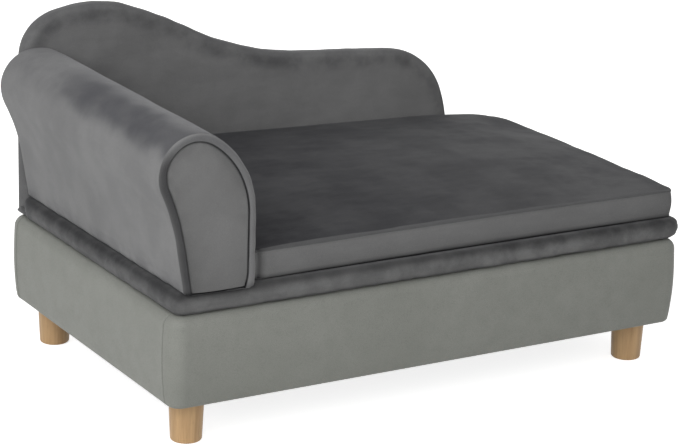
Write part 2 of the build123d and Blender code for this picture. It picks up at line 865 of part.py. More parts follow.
rail_reach = arm_scroll_radius - arm_band_width - arm_rail_margin - arm_rail_size / sqrt(2)
rail_places = [
    (scroll_x, scroll_z + rail_reach),
    (scroll_x - rail_reach, scroll_z),
    (arm_inner_x - arm_band_width - arm_rail_margin - arm_rail_size / 2, shoulder_z),
]
with BuildPart() as arm_rails:
    with BuildSketch(upright(rear_board_front_y)):
        with Locations(*rail_places):
            Rectangle(arm_rail_size, arm_rail_size)
    extrude(amount=arm_span)
save(arm_rails, "arm_rails")

with BuildPart() as arm_screws:
    for plane in arm_screw_planes:
        add(long_screw(plane, arm_screw_length, 0))
save(arm_screws, "arm_screws")

# Back: a wave-shaped board in foam and velvet
back_board_inset = velvet_thickness + back_edge_foam
back_core = back_outline(back_board_inset, upper_bottom_z + velvet_thickness)
back_inner = back_form(velvet_thickness)

with BuildPart() as back_board:
    with BuildSketch(upright(back_board_rear_y)):
        add(back_core)
    extrude(amount=back_board_thickness)
    for hole in back_screw_holes:
        add(hole, mode=Mode.SUBTRACT)
save(back_board, "back_board")

with BuildPart() as back_padding:
    add(back_inner)
    with BuildSketch(upright(back_board_rear_y)):
        add(back_core)
    extrude(amount=back_board_thickness, mode=Mode.SUBTRACT)
save(back_padding, "back_padding")

with BuildPart() as back_cover:
    add(back_form(0))
    add(back_inner, mode=Mode.SUBTRACT)
    for hole in back_screw_holes:
        add(hole, mode=Mode.SUBTRACT)
save(back_cover, "back_cover")

with BuildPart() as back_screws:
    for plane in back_screw_planes:
        add(long_screw(plane, back_screw_length, 0))
save(back_screws, "back_screws")


# A round stud across the stay, from one depth to another, with a head at the far end
def stud_form(side, y, z, start, end, head_start, head_end):
    with BuildPart() as stud:
        with BuildSketch(wall_plane(side, start, y, z)):
            Circle(stay_stud_radius)
        extrude(amount=end - start)
        with BuildSketch(wall_plane(side, head_start, y, z)):
            Circle(stay_head_radius)
        extrude(amount=head_end - head_start)
    return stud.part


# A flat bar with round ends between two pivots
def stay_bar(side, depth, start, end, start_gap, end_gap):
    run = Vector(0, end[0] - start[0], end[1] - start[1])
    bar_plane = Plane(
        origin=(base_x + side * (store_wall - depth), start[0], start[1]),
        x_dir=run,
        z_dir=(-side, 0, 0),
    )
    with BuildPart() as bar:
        with BuildSketch(bar_plane):
            with Locations((run.length / 2, 0)):
                SlotCenterToCenter(run.length, stay_bar_width)
            Circle(stay_stud_radius + start_gap, mode=Mode.SUBTRACT)
            with Locations((run.length, 0)):
                Circle(stay_stud_radius + end_gap, mode=Mode.SUBTRACT)
        extrude(amount=stay_bar_thickness)
    return bar


base_pivot = (stay_base_y, stay_base_z)
lid_pivot = (stay_lid_y, stay_lid_z)
knee_pivot = (knee_y, knee_z)

for name, side in sides.items():
    with BuildPart() as stay_base_bracket:
        with BuildSketch(wall_plane(side, 0, stay_base_y, stay_base_z)):
            RectangleRounded(stay_base_plate_length, stay_base_plate_height, stay_corner_rounding)
        extrude(amount=stay_plate_thickness)
        add(
            stud_form(
                side,
                stay_base_y,
                stay_base_z,
                0,
                lower_in + stay_side_gap + stay_head_thickness,
                lower_in + stay_side_gap,
                lower_in + stay_side_gap + stay_head_thickness,
            )
        )
        for plane in stay_base_screw_planes(side):
            add(stay_screw(plane, screw_clearance), mode=Mode.SUBTRACT)
    save(stay_base_bracket, f"stay_base_bracket_{name}")

    with BuildPart() as stay_lid_bracket:
        with BuildSketch(
            Plane(
                origin=(
                    base_x + side * (store_wall - tab_out),
                    stay_lid_y,
                    lid_bottom_z - stay_plate_thickness,
                ),
                x_dir=(-side, 0, 0),
                z_dir=(0, 0, 1),
            )
        ):
            with Locations(((stay_lid_plate_width + stay_plate_thickness) / 2, 0)):
                Rectangle(stay_lid_plate_width + stay_plate_thickness, stay_lid_plate_length)
        extrude(amount=stay_plate_thickness)
        with BuildSketch(wall_plane(side, tab_out, stay_lid_y, stay_lid_z)):
            Circle(stay_bar_width / 2)
            with Locations((0, (lid_bottom_z - stay_lid_z) / 2)):
                Rectangle(stay_bar_width, lid_bottom_z - stay_lid_z)
        extrude(amount=stay_plate_thickness)
        add(
            stud_form(
                side,
                stay_lid_y,
                stay_lid_z,
                upper_out - stay_side_gap - stay_head_thickness,
                tab_out,
                upper_out - stay_side_gap - stay_head_thickness,
                upper_out - stay_side_gap,
            )
        )
        for plane in stay_lid_screw_planes(side):
            add(stay_screw(plane, screw_clearance), mode=Mode.SUBTRACT)
    save(stay_lid_bracket, f"stay_lid_bracket_{name}")

    lower_arm = stay_bar(side, lower_out, base_pivot, knee_pivot, stay_stud_gap, stay_stud_gap)
    save(lower_arm, f"stay_lower_arm_{name}")
    upper_arm = stay_bar(side, upper_out, lid_pivot, knee_pivot, stay_stud_gap, stay_knee_gap)
    save(upper_arm, f"stay_upper_arm_{name}")

    with BuildPart() as stay_rivet:
        add(
            stud_form(
                side,
                knee_y,
                knee_z,
                lower_out - stay_head_thickness,
                tab_out,
                lower_out - stay_head_thickness,
                lower_out,
            )
        )
        with BuildSketch(wall_plane(side, tab_out, knee_y, knee_z)):
            Circle(stay_head_radius)
        extrude(amount=stay_head_thickness)
    save(stay_rivet, f"stay_rivet_{name}")

with BuildPart() as stay_base_screws:
    for side in sides.values():
        for plane in stay_base_screw_planes(side):
            add(stay_screw(plane, 0))
save(stay_base_screws, "stay_base_screws")

with BuildPart() as stay_lid_screws:
    for side in sides.values():
        for plane in stay_lid_screw_planes(side):
            add(stay_screw(plane, 0))
save(stay_lid_screws, "stay_lid_screws")

# Seat cushion: a boxed cushion whose top swells to a crown and whose front is drawn in
cushion_left_x = arm_inner_x + cushion_side_gap
cushion_right_x = right_x - cushion_right_inset
cushion_front_y = front_y + cushion_front_inset
cushion_rear_y = back_front_y - cushion_rear_gap
cushion_middle_x = (cushion_left_x + cushion_right_x) / 2
cushion_middle_y = (cushion_front_y + cushion_rear_y) / 2
cushion_half_length = (cushion_right_x - cushion_left_x) / 2


# The crown and the rise towards the back fall off with the fourth power of the distance from the
# middle, and the draw-in of the front with its square
def cushion_section(share, inset):
    x = cushion_middle_x + share * (cushion_half_length - inset)
    front = cushion_front_y + cushion_draw_in * (1 - share**2) + inset
    rear = cushion_rear_y - inset
    bottom = upper_bottom_z + inset
    seam = upper_bottom_z + cushion_band - inset / 2
    crown = cushion_end_crown + (cushion_crown - cushion_end_crown) * (1 - share**4)
    rear_seam = seam + cushion_rear_crown * (1 - share**4)
    with BuildSketch(Plane(origin=(x, 0, 0), x_dir=(0, 1, 0), z_dir=(1, 0, 0))) as section:
        with BuildLine():
            Polyline((front, bottom), (rear, bottom), (rear, rear_seam))
            ThreePointArc(
                (rear, rear_seam), (cushion_middle_y, seam + crown - inset / 2), (front, seam)
            )
            ThreePointArc(
                (front, seam), (front - cushion_band_bulge, (seam + bottom) / 2), (front, bottom)
            )
        make_face()
    return section.sketch


def cushion_form(inset):
    sections = [cushion_section(share, inset) for share in cushion_station_shares]
    with BuildPart() as form:
        loft(sections)
    return form.part


cushion_inner = cushion_form(velvet_thickness)

with BuildPart() as cushion_foam:
    add(cushion_inner)
save(cushion_foam, "cushion_foam")

with BuildPart() as cushion_cover:
    add(cushion_form(0))
    add(cushion_inner, mode=Mode.SUBTRACT)
save(cushion_cover, "cushion_cover")

zip_middle_z = upper_bottom_z + cushion_band / 2

with BuildPart() as cushion_zip:
    with BuildSketch(upright(cushion_rear_y)):
        with Locations((cushion_middle_x, zip_middle_z)):
            Rectangle(zip_length, zip_width)
    extrude(amount=-zip_thickness)
save(cushion_zip, "cushion_zip")

with BuildPart() as zip_slider:
    with BuildSketch(upright(cushion_rear_y + zip_thickness + slider_running_gap)):
        with Locations((cushion_middle_x - (zip_length - slider_length) / 2, zip_middle_z)):
            Rectangle(slider_length, slider_width)
    extrude(amount=-slider_thickness)
    fillet(zip_slider.faces().sort_by(Axis.Y)[-1].edges(), slider_rounding)
save(zip_slider, "zip_slider")
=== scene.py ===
import json
import math

import bmesh
import bpy
import numpy as np
from mathutils import Matrix, Vector


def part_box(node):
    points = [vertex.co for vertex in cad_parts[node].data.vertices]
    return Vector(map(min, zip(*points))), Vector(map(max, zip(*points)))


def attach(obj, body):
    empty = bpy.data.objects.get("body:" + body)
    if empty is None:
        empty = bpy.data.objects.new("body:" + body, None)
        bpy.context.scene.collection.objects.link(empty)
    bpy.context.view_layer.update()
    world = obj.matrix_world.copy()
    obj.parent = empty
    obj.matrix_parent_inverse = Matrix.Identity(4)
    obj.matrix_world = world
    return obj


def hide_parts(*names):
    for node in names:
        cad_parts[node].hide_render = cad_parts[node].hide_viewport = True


# Dog sofa bed: a leatherette storage box on wooden legs, with a velvet lid that carries a scroll arm,
# a wave back and a loose boxed cushion. Metres, +Z up, the front faces -Y.

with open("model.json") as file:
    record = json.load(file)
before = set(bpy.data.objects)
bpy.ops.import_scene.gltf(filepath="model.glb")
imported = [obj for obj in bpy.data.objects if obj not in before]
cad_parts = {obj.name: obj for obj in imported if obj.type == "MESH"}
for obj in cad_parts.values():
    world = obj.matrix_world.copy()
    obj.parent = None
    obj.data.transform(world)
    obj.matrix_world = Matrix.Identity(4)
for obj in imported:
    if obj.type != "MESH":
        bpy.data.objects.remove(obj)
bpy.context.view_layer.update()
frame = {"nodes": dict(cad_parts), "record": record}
nodes = frame["nodes"]
print("frame loaded:", len(nodes), "nodes")


def cadBox(node):
    low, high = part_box(node)
    return np.array(low), np.array(high)


boxLow, boxHigh = cadBox("base_cover")
panelLow = cadBox("base_bottom_board")[0]
wallHigh = cadBox("base_front_panel")[1]
liningLow, liningHigh = cadBox("storage_lining")
lidLow, lidHigh = cadBox("lid_cover")
boardLow, boardHigh = cadBox("lid_board")
armLow, armHigh = cadBox("arm_cover")
facingLow, facingHigh = cadBox("arm_front_facing")
backLow, backHigh = cadBox("back_cover")
seatLow, seatHigh = cadBox("cushion_cover")
hingeMiddles = [sum(cadBox("hinge_pin_" + side)) / 2 for side in ("left", "right")]
middleX = (boxLow[0] + boxHigh[0]) / 2
tau = 2 * math.pi


# Shapes as arrays

def smoothStep(share):
    share = np.clip(share, 0, 1)
    return share * share * (3 - 2 * share)


def bump(distance, width):
    # a bell: 1 at no distance, falling to nearly 0 at twice the width
    return np.exp(-((distance / width) ** 2))


def ripples(points, wavelength, seed, count=20):
    # the sum of sine waves of about one length in seeded random directions, scaled to stay near -1 to 1
    generator = np.random.default_rng(seed)
    directions = generator.normal(size=(count, 3))
    directions /= np.linalg.norm(directions, axis=1, keepdims=True)
    lengths = wavelength * generator.uniform(0.7, 1.6, count)
    phases = generator.uniform(0, tau, count)
    waves = np.sin(points @ (directions * (tau / lengths)[:, None]).T + phases)
    return waves.sum(-1) / math.sqrt(count)


def rippled(points, waves):
    # ripples added up, each given as its height, its wavelength and its seed
    return sum(height * ripples(points, wavelength, seed) for height, wavelength, seed in waves)


def alongCurve(curve, shares):
    # points at the given shares of a polyline's length
    steps = np.linalg.norm(np.diff(curve, axis=0), axis=1)
    run = np.concatenate([[0], np.cumsum(steps)])
    return np.stack([np.interp(shares * run[-1], run, curve[:, i]) for i in range(curve.shape[1])], 1)


def arcPoints(centre, radius, start, end, count=60):
    # a circle's arc from one angle to another, in degrees
    angle = np.radians(np.linspace(start, end, count))
    return np.stack([centre[0] + radius * np.cos(angle), centre[1] + radius * np.sin(angle)], 1)


def tangentArc(start, end, heading, count=50):
    # the arc that leaves start along heading and ends at end, and its heading there:
    # the chord to a point turns by half of what the arc has turned
    chord = np.array(end) - np.array(start)
    reach = math.hypot(*chord)
    half = math.atan2(chord[1], chord[0]) - heading
    half = (half + math.pi) % tau - math.pi
    share = np.linspace(0, 1, count)
    if abs(half) < 1e-6:
        length = share * reach
    else:
        length = reach * np.sin(share * half) / math.sin(half)
    angle = heading + share * half
    points = np.stack([start[0] + length * np.cos(angle), start[1] + length * np.sin(angle)], 1)
    return points, heading + 2 * half


def sideNormals(curve):
    # unit normals to the left of the way that an open curve runs
    step = np.gradient(curve, axis=0)
    normal = np.stack([-step[:, 1], step[:, 0]], 1)
    return normal / np.linalg.norm(normal, axis=1, keepdims=True)


def closedInward(loop):
    # unit normals towards the inside of an anticlockwise closed loop
    step = np.roll(loop, -1, 0) - np.roll(loop, 1, 0)
    inward = np.stack([-step[:, 1], step[:, 0]], 1)
    return inward / np.linalg.norm(inward, axis=1, keepdims=True)


def lying(loop, z, x=0.0, y=0.0):
    # a loop drawn in plan, laid level at a height about a middle
    return np.column_stack([loop[:, 0] + x, loop[:, 1] + y, np.full(len(loop), z)])


def standing(outline, y):
    # an outline drawn from the front, stood upright at a depth
    return np.column_stack([outline[:, 0], np.full(len(outline), y), outline[:, 1]])


def roundedLoop(halfX, halfY, radius, spanX, spanY, arcCount):
    # a rectangle with rounded corners, anticlockwise from the middle of its left front corner, in the
    # border order of a grid: along the front, up the right, back along the rear, down the left
    straightX = spanX * (halfX - radius)
    straightY = spanY * (halfY - radius)
    corner = lambda x, y, start: arcPoints((x, y), radius, start, start + 45, arcCount + 1)
    cx, cy = halfX - radius, halfY - radius
    ones = np.ones
    front = [corner(-cx, -cy, 225)[:-1], np.stack([straightX, -halfY * ones(len(spanX))], 1),
             corner(cx, -cy, 270)[1:-1]]
    right = [corner(cx, -cy, 315)[:-1], np.stack([halfX * ones(len(spanY)), straightY], 1),
             corner(cx, cy, 0)[1:-1]]
    rear = [corner(cx, cy, 45)[:-1], np.stack([-straightX, halfY * ones(len(spanX))], 1),
            corner(-cx, cy, 90)[1:-1]]
    left = [corner(-cx, cy, 135)[:-1], np.stack([-halfX * ones(len(spanY)), -straightY], 1),
            corner(-cx, -cy, 180)[1:-1]]
    return np.concatenate(front + right + rear + left)


def borderOrder(countU, countV):
    # the flat indices of a grid's border, anticlockwise from its first corner
    grid = np.arange(countU * countV).reshape(countU, countV)
    return np.concatenate([grid[:-1, 0], grid[-1, :-1], grid[:0:-1, -1], grid[0, :0:-1]])


def patchFrom(loop, countU, countV):
    # a surface between four border curves: the two blends of opposite sides, less the blend of corners
    a, b = countU - 1, countV - 1
    closed = np.concatenate([loop, loop[:1]])
    bottom, right = closed[: a + 1], closed[a : a + b + 1]
    top, left = closed[a + b : 2 * a + b + 1][::-1], closed[2 * a + b :][::-1]

    def shares(one, two):
        runs = []
        for side in (one, two):
            steps = np.linalg.norm(np.diff(side, axis=0), axis=1)
            runs.append(np.concatenate([[0], np.cumsum(steps)]) / steps.sum())
        return (runs[0] + runs[1]) / 2

    u = shares(bottom, top)[:, None, None]
    v = shares(left, right)[None, :, None]
    across = (1 - v) * bottom[:, None] + v * top[:, None]
    along = (1 - u) * left[None] + u * right[None]
    corners = (1 - u) * ((1 - v) * bottom[0] + v * top[0]) + u * ((1 - v) * bottom[-1] + v * top[-1])
    return across + along - corners


# Meshes from arrays

def gridFaces(index, closeU=False, closeV=False):
    if closeU:
        index = np.concatenate([index, index[:1]])
    if closeV:
        index = np.concatenate([index, index[:, :1]], axis=1)
    corners = [index[:-1, :-1], index[1:, :-1], index[1:, 1:], index[:-1, 1:]]
    return np.stack([c.ravel() for c in corners], 1)


def buildMesh(name, vertices, faces, caps=(), marks=None):
    mesh = bpy.data.meshes.new(name)
    mesh.from_pydata(vertices.reshape(-1, 3).tolist(), [], faces.tolist() + [list(c) for c in caps])
    for label, values in (marks or {}).items():
        layer = mesh.attributes.new(label, "FLOAT", "POINT")
        layer.data.foreach_set("value", np.asarray(values, dtype=np.float32).ravel())
    work = bmesh.new()
    work.from_mesh(mesh)
    bmesh.ops.remove_doubles(work, verts=work.verts, dist=1e-6)
    bmesh.ops.recalc_face_normals(work, faces=work.faces)
    work.to_mesh(mesh)
    work.free()
    mesh.shade_smooth()
    piece = bpy.data.objects.new(name, mesh)
    bpy.context.collection.objects.link(piece)
    return piece


def shellBetween(name, rings, countU, countV):
    # a closed skin: rings carried from one patch to another, each patch filled in from its border ring;
    # the mark "ring" tells a ring's points by its number, and those inside the two patches by -1 and 999
    order = borderOrder(countU, countV)
    ringCount, loopCount = rings.shape[:2]
    vertices = [rings.reshape(-1, 3)]
    marks = [np.repeat(np.arange(ringCount), loopCount)]
    faces = [gridFaces(np.arange(ringCount * loopCount).reshape(ringCount, loopCount), closeV=True)]
    start = ringCount * loopCount
    for ring, base, mark in ((rings[0], 0, -1), (rings[-1], start - loopCount, 999)):
        patch = patchFrom(ring, countU, countV)
        index = np.full(countU * countV, -1)
        index[order] = base + np.arange(loopCount)
        inner = index < 0
        index[inner] = start + np.arange(inner.sum())
        vertices.append(patch.reshape(-1, 3)[inner])
        faces.append(gridFaces(index.reshape(countU, countV)))
        marks.append(np.full(inner.sum(), mark))
        start += inner.sum()
    marks = {"ring": np.concatenate(marks)}
    return buildMesh(name, np.concatenate(vertices), np.concatenate(faces), marks=marks)


def sheetBetween(name, outer, inner):
    # a thin closed sheet: two grids of points of one size, joined round their borders
    count = outer.shape[0] * outer.shape[1]
    index = np.arange(count).reshape(outer.shape[:2])
    border = borderOrder(*outer.shape[:2])
    rim = np.stack([border, border + count])
    faces = np.concatenate([gridFaces(index), gridFaces(index + count), gridFaces(rim, closeV=True)])
    return buildMesh(name, np.concatenate([outer.reshape(-1, 3), inner.reshape(-1, 3)]), faces)


def readPoints(piece, what="co"):
    values = np.empty(len(piece.data.vertices) * 3)
    if what == "normal":
        piece.data.vertex_normals.foreach_get("vector", values)
    else:
        piece.data.vertices.foreach_get("co", values)
    return values.reshape(-1, 3)


def movePoints(piece, points):
    piece.data.vertices.foreach_set("co", np.ascontiguousarray(points, dtype=np.float32).ravel())
    piece.data.update()


def pushOut(piece, amounts):
    movePoints(piece, readPoints(piece) + amounts[:, None] * readPoints(piece, "normal"))


def paint(piece, name, values):
    layer = piece.data.attributes.get(name) or piece.data.attributes.new(name, "FLOAT", "POINT")
    layer.data.foreach_set("value", np.clip(values, 0, 1).astype(np.float32))


def takeMark(piece, label):
    layer = piece.data.attributes[label]
    values = np.empty(len(piece.data.vertices), dtype=np.float32)
    layer.data.foreach_get("value", values)
    piece.data.attributes.remove(layer)
    return values


def place(piece, body, slot, replaced=(), fill=None):
    # a piece takes the material that has its slot's name
    piece.data.materials.clear()
    piece.data.materials.append(materials[slot])
    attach(piece, body)
    if replaced:
        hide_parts(*replaced)
    return piece


# Cloth: a cover is blown up a little against the points that its seams and its boards hold

clothPlan = {
    "pressure": 4.0,
    "frames": 20,
    "quality": 4,
    "tension": 15.0,
    "bending": 0.6,
}


def swell(piece, held, cap, pressure=1.0):
    # each point moves by cap * tanh(move / cap), so it never goes further than the cap
    start = readPoints(piece)
    group = piece.vertex_groups.new(name="held")
    group.add(np.flatnonzero(held).tolist(), 1.0, "REPLACE")
    cloth = piece.modifiers.new("cloth", "CLOTH")
    settings = cloth.settings
    settings.quality = clothPlan["quality"]
    settings.use_pressure = True
    settings.uniform_pressure_force = clothPlan["pressure"] * pressure
    settings.vertex_group_mass = group.name
    settings.tension_stiffness = clothPlan["tension"]
    settings.compression_stiffness = clothPlan["tension"]
    settings.bending_stiffness = clothPlan["bending"]
    settings.effector_weights.gravity = 0
    cloth.point_cache.frame_start = 1
    cloth.point_cache.frame_end = clothPlan["frames"]
    for number in range(1, clothPlan["frames"] + 1):
        bpy.context.scene.frame_set(number)
    solved = piece.evaluated_get(bpy.context.evaluated_depsgraph_get())
    points = np.empty(len(start) * 3)
    solved.data.vertices.foreach_get("co", points)
    piece.modifiers.remove(cloth)
    piece.vertex_groups.remove(group)
    bpy.context.scene.frame_set(1)
    move = points.reshape(-1, 3) - start
    far = np.maximum(np.linalg.norm(move, axis=1, keepdims=True), 1e-9)
    print(piece.name, "cloth moved up to", round(float(far.max()) * 1000, 1), "mm, middling",
          round(float(np.median(far)) * 1000, 1), "mm")
    movePoints(piece, start + move * (cap * np.tanh(far / cap) / far))


# Camera, at the photograph's viewing angle

cameraPose = {
    "azimuth": -31.1,
    "elevation": 17.1,
    "roll": 1.8,
    "distance": 3.155,
    "target": (middleX - 0.0048, 0.0, 0.166),
    "focalPixels": 2380,
    "centrePixel": (341, 231),
    "photoSize": (679, 445),
    "sensorWidth": 36,
}


def makeCamera(pose):
    turn, lift, roll = (math.radians(pose[k]) for k in ("azimuth", "elevation", "roll"))
    back = Vector((math.sin(turn) * math.cos(lift), -math.cos(turn) * math.cos(lift), math.sin(lift)))
    right = (-back).cross(Vector((0, 0, 1))).normalized()
    up = right.cross(-back)
    rolledRight = math.cos(roll) * right + math.sin(roll) * up
    rolledUp = -math.sin(roll) * right + math.cos(roll) * up
    data = bpy.data.cameras.new("camera")
    width, height = pose["photoSize"]
    data.sensor_width = pose["sensorWidth"]
    data.lens = pose["focalPixels"] / width * pose["sensorWidth"]
    data.shift_x = (width / 2 - pose["centrePixel"][0]) / width
    data.shift_y = (pose["centrePixel"][1] - height / 2) / width
    camera = bpy.data.objects.new("camera", data)
    bpy.context.collection.objects.link(camera)
    turned = Matrix((rolledRight, rolledUp, back)).transposed().to_4x4()
    camera.matrix_world = Matrix.Translation(Vector(pose["target"]) + back * pose["distance"]) @ turned
    bpy.context.scene.camera = camera


makeCamera(cameraPose)


# Light: a broad soft box high on the left, weaker ones in front and behind, and a pale room

lightPlan = {
    "world": 0.35,
    "key": {"place": (-2.3, -0.9, 1.9), "size": 2.0, "power": 41},
    "front": {"place": (-1.1, -2.1, 1.2), "size": 1.4, "power": 17},
    "rear": {"place": (0.6, 2.4, 2.2), "size": 2.0, "power": 16},
    "aim": (0, 0, 0.2),
    "floorSize": 14,
    "floorColor": (0.86, 0.86, 0.85, 1),
    "floorGlow": 0.80,
}


def makeLights(plan):
    for name in ("key", "front", "rear"):
        data = bpy.data.lights.new(name, "AREA")
        data.size = plan[name]["size"]
        data.energy = plan[name]["power"]
        lamp = bpy.data.objects.new(name, data)
        lamp.location = plan[name]["place"]
        aim = Vector(plan["aim"]) - lamp.location
        lamp.rotation_euler = aim.to_track_quat("-Z", "Y").to_euler()
        bpy.context.collection.objects.link(lamp)
    world = bpy.data.worlds.new("room")
    bpy.context.scene.world = world
    world.use_nodes = True
    tree = world.node_tree
    ground = tree.nodes["Background"]
    strength = spread(tree, seenRay(tree), 0.0, 1.0, plan["world"], 1.0, smooth=False)
    tree.links.new(strength, ground.inputs["Strength"])
    ground.inputs["Color"].default_value = (1, 1, 1, 1)


# Shader helpers

def addNode(tree, kind, values=None, **settings):
    node = tree.nodes.new("ShaderNode" + kind)
    for key, value in settings.items():
        setattr(node, key, value)
    for key, value in (values or {}).items():
        if isinstance(value, bpy.types.NodeSocket):
            tree.links.new(value, node.inputs[key])
        else:
            node.inputs[key].default_value = value
    return node


def math2(tree, operation, a, b=0.0, clamp=False):
    return addNode(tree, "Math", {0: a, 1: b}, operation=operation, use_clamp=clamp).outputs[0]


def mixColor(tree, factor, a, b, blend="MIX"):
    node = addNode(tree, "Mix", data_type="RGBA", blend_type=blend)
    for index, value in ((0, factor), (6, a), (7, b)):
        if isinstance(value, bpy.types.NodeSocket):
            tree.links.new(value, node.inputs[index])
        else:
            node.inputs[index].default_value = value
    return node.outputs[2]


def noiseNode(tree, vector, scale, detail=2.0, roughness=0.5, distortion=0.0):
    values = {"Vector": vector, "Scale": scale, "Detail": detail, "Roughness": roughness,
              "Distortion": distortion}
    return addNode(tree, "TexNoise", values).outputs["Fac"]


def spread(tree, value, low, high, toLow=0.0, toHigh=1.0, smooth=True):
    values = {"Value": value, "From Min": low, "From Max": high, "To Min": toLow, "To Max": toHigh}
    kind = "SMOOTHSTEP" if smooth else "LINEAR"
    return addNode(tree, "MapRange", values, interpolation_type=kind).outputs["Result"]


def seenRay(tree):
    # 1 for rays from the camera, and for those that metal and glass send on to the background
    path = addNode(tree, "LightPath").outputs
    mirrored = math2(tree, "MAXIMUM", path["Is Glossy Ray"], path["Is Transmission Ray"])
    return math2(tree, "MAXIMUM", path["Is Camera Ray"], mirrored)


def shaderGroup(name, inputs):
    # a group that gives a colour, a roughness and a height
    group = bpy.data.node_groups.new(name, "ShaderNodeTree")
    for label, kind, value in inputs:
        socket = group.interface.new_socket(label, in_out="INPUT", socket_type="NodeSocket" + kind)
        socket.default_value = value
    for label, kind in (("Color", "Color"), ("Roughness", "Float"), ("Height", "Float")):
        group.interface.new_socket(label, in_out="OUTPUT", socket_type="NodeSocket" + kind)
    inside = group.nodes.new("NodeGroupInput")
    outside = group.nodes.new("NodeGroupOutput")
    return group, inside.outputs, outside.inputs


def groupOut(tree, made, color, roughness, height):
    for label, value in (("Color", color), ("Roughness", roughness), ("Height", height)):
        tree.links.new(value, made[label])


def useGroup(tree, group, values):
    node = tree.nodes.new("ShaderNodeGroup")
    node.node_tree = group
    for key, value in values.items():
        if isinstance(value, bpy.types.NodeSocket):
            tree.links.new(value, node.inputs[key])
        else:
            node.inputs[key].default_value = value
    return node.outputs


def newMaterial(name, **sockets):
    material = bpy.data.materials.new(name)
    material.use_nodes = True
    tree = material.node_tree
    shader = tree.nodes["Principled BSDF"]
    for key, value in sockets.items():
        shader.inputs[key].default_value = value
    place = addNode(tree, "TexCoord").outputs["Object"]
    return material, tree, shader, place


def finishShader(tree, shader, color, roughness, height, distance, strength):
    tree.links.new(color, shader.inputs["Base Color"])
    tree.links.new(roughness, shader.inputs["Roughness"])
    values = {"Height": height, "Distance": distance, "Strength": strength}
    tree.links.new(addNode(tree, "Bump", values).outputs["Normal"], shader.inputs["Normal"])


makeLights(lightPlan)
bpy.context.scene.view_settings.view_transform = "Standard"


# Velvet: short pile that lies in brushed patches, dark one way and light the other; the tone painted on each
# piece also carries painted light and shade

def makeVelvetGroup():
    inputs = [("Place", "Vector", (0, 0, 0)), ("Color", "Color", (0.1, 0.1, 0.1, 1)),
              ("Brushed And Lit", "Color", (0.2, 0.2, 0.2, 1)), ("Tone", "Float", 0.5), ("Nap", "Float", 0.3),
              ("Shade", "Float", 0.0), ("Patch Scale", "Float", 28.0), ("Streak", "Float", 0.1)]
    group, given, made = shaderGroup("velvetPile", inputs)
    tree = made[0].id_data
    place = given["Place"]
    bend = addNode(tree, "TexNoise", {"Vector": place, "Scale": 9.0, "Detail": 2.0}).outputs["Color"]
    warped = addNode(tree, "MixRGB", {"Fac": 0.012, "Color1": place, "Color2": bend},
                     blend_type="LINEAR_LIGHT").outputs[0]
    patches = spread(tree, noiseNode(tree, warped, given["Patch Scale"], 3.0, 0.6), 0.34, 0.66)
    along = addNode(tree, "Mapping", {"Vector": warped, "Scale": (0.3, 1.0, 1.0)}).outputs[0]
    streaks = spread(tree, noiseNode(tree, along, 75.0, 3.0, 0.6), 0.32, 0.68)
    byPatch = math2(tree, "MULTIPLY", math2(tree, "SUBTRACT", patches, 0.5), given["Nap"])
    byStreak = math2(tree, "MULTIPLY", math2(tree, "SUBTRACT", streaks, 0.5), given["Streak"])
    laid = math2(tree, "ADD", math2(tree, "ADD", byPatch, byStreak), given["Tone"], clamp=True)
    soft = noiseNode(tree, place, 6.0, 2.0, 0.5)
    fibre = noiseNode(tree, place, 1400.0, 2.0, 0.7)
    speck = spread(tree, fibre, 0.35, 0.68, 0.88, 1.1, smooth=False)
    drift = spread(tree, soft, 0.3, 0.7, 0.95, 1.04)
    tone = math2(tree, "MULTIPLY", speck, drift)
    # the painted tone mixes the dark colour towards the lighter one, for the pile's lie and for painted light
    brushedAndLit = mixColor(tree, laid, given["Color"], given["Brushed And Lit"])
    grey = addNode(tree, "CombineColor", {0: tone, 1: tone, 2: tone}).outputs[0]
    toned = mixColor(tree, 1.0, brushedAndLit, grey, "MULTIPLY")
    shaded = mixColor(tree, given["Shade"], toned, (0.012, 0.012, 0.013, 1))
    rough = spread(tree, laid, 0.0, 1.0, 0.9, 0.72, smooth=False)
    lift = math2(tree, "ADD", math2(tree, "MULTIPLY", fibre, 0.5), math2(tree, "MULTIPLY", patches, 0.6))
    groupOut(tree, made, shaded, rough, lift)
    return group


velvetPile = makeVelvetGroup()

# one velvet in five copies, each made lighter or darker for the light on its piece: painted light as well as
# the pile's lie
velvetLooks = {
    "velvet_arm": {"dark": 0.055, "light": 0.215, "tint": 1.14, "patchScale": 17.0, "streak": 0.0,
                   "sheen": 0.12},
    "velvet_facing": {"dark": 0.07, "light": 0.185, "tint": 1.0, "patchScale": 14.0, "streak": 0.0,
                      "sheen": 0.10},
    "velvet_back": {"dark": 0.05, "light": 0.20, "tint": 1.08, "patchScale": 24.0, "streak": 0.08,
                    "sheen": 0.12},
    "velvet_cushion": {"dark": 0.026, "light": 0.19, "tint": 1.14, "patchScale": 11.0, "streak": 0.05,
                       "sheen": 0.05},
    "velvet_lid": {"dark": 0.035, "light": 0.175, "tint": 1.04, "patchScale": 30.0, "streak": 0.08,
                   "sheen": 0.12},
}


def makeVelvet(name, look):
    material, tree, shader, place = newMaterial(
        name, **{"Sheen Weight": look["sheen"], "Sheen Roughness": 0.45, "Specular IOR Level": 0.1,
                 "Sheen Tint": (0.85, 0.86, 0.9, 1)})
    painted = {label: addNode(tree, "Attribute", attribute_name=label).outputs["Fac"]
               for label in ("tone", "nap", "shade")}
    gray = lambda level, blue=1.0: (level, level, level * blue, 1)
    out = useGroup(tree, velvetPile, {
        "Place": place, "Color": gray(look["dark"], look["tint"]), "Brushed And Lit": gray(look["light"]),
        "Tone": painted["tone"], "Nap": painted["nap"], "Shade": painted["shade"],
        "Patch Scale": look["patchScale"], "Streak": look["streak"]})
    finishShader(tree, shader, out["Color"], out["Roughness"], out["Height"], 0.0005, 0.5)
    return material


velvets = {name: makeVelvet(name, look) for name, look in velvetLooks.items()}
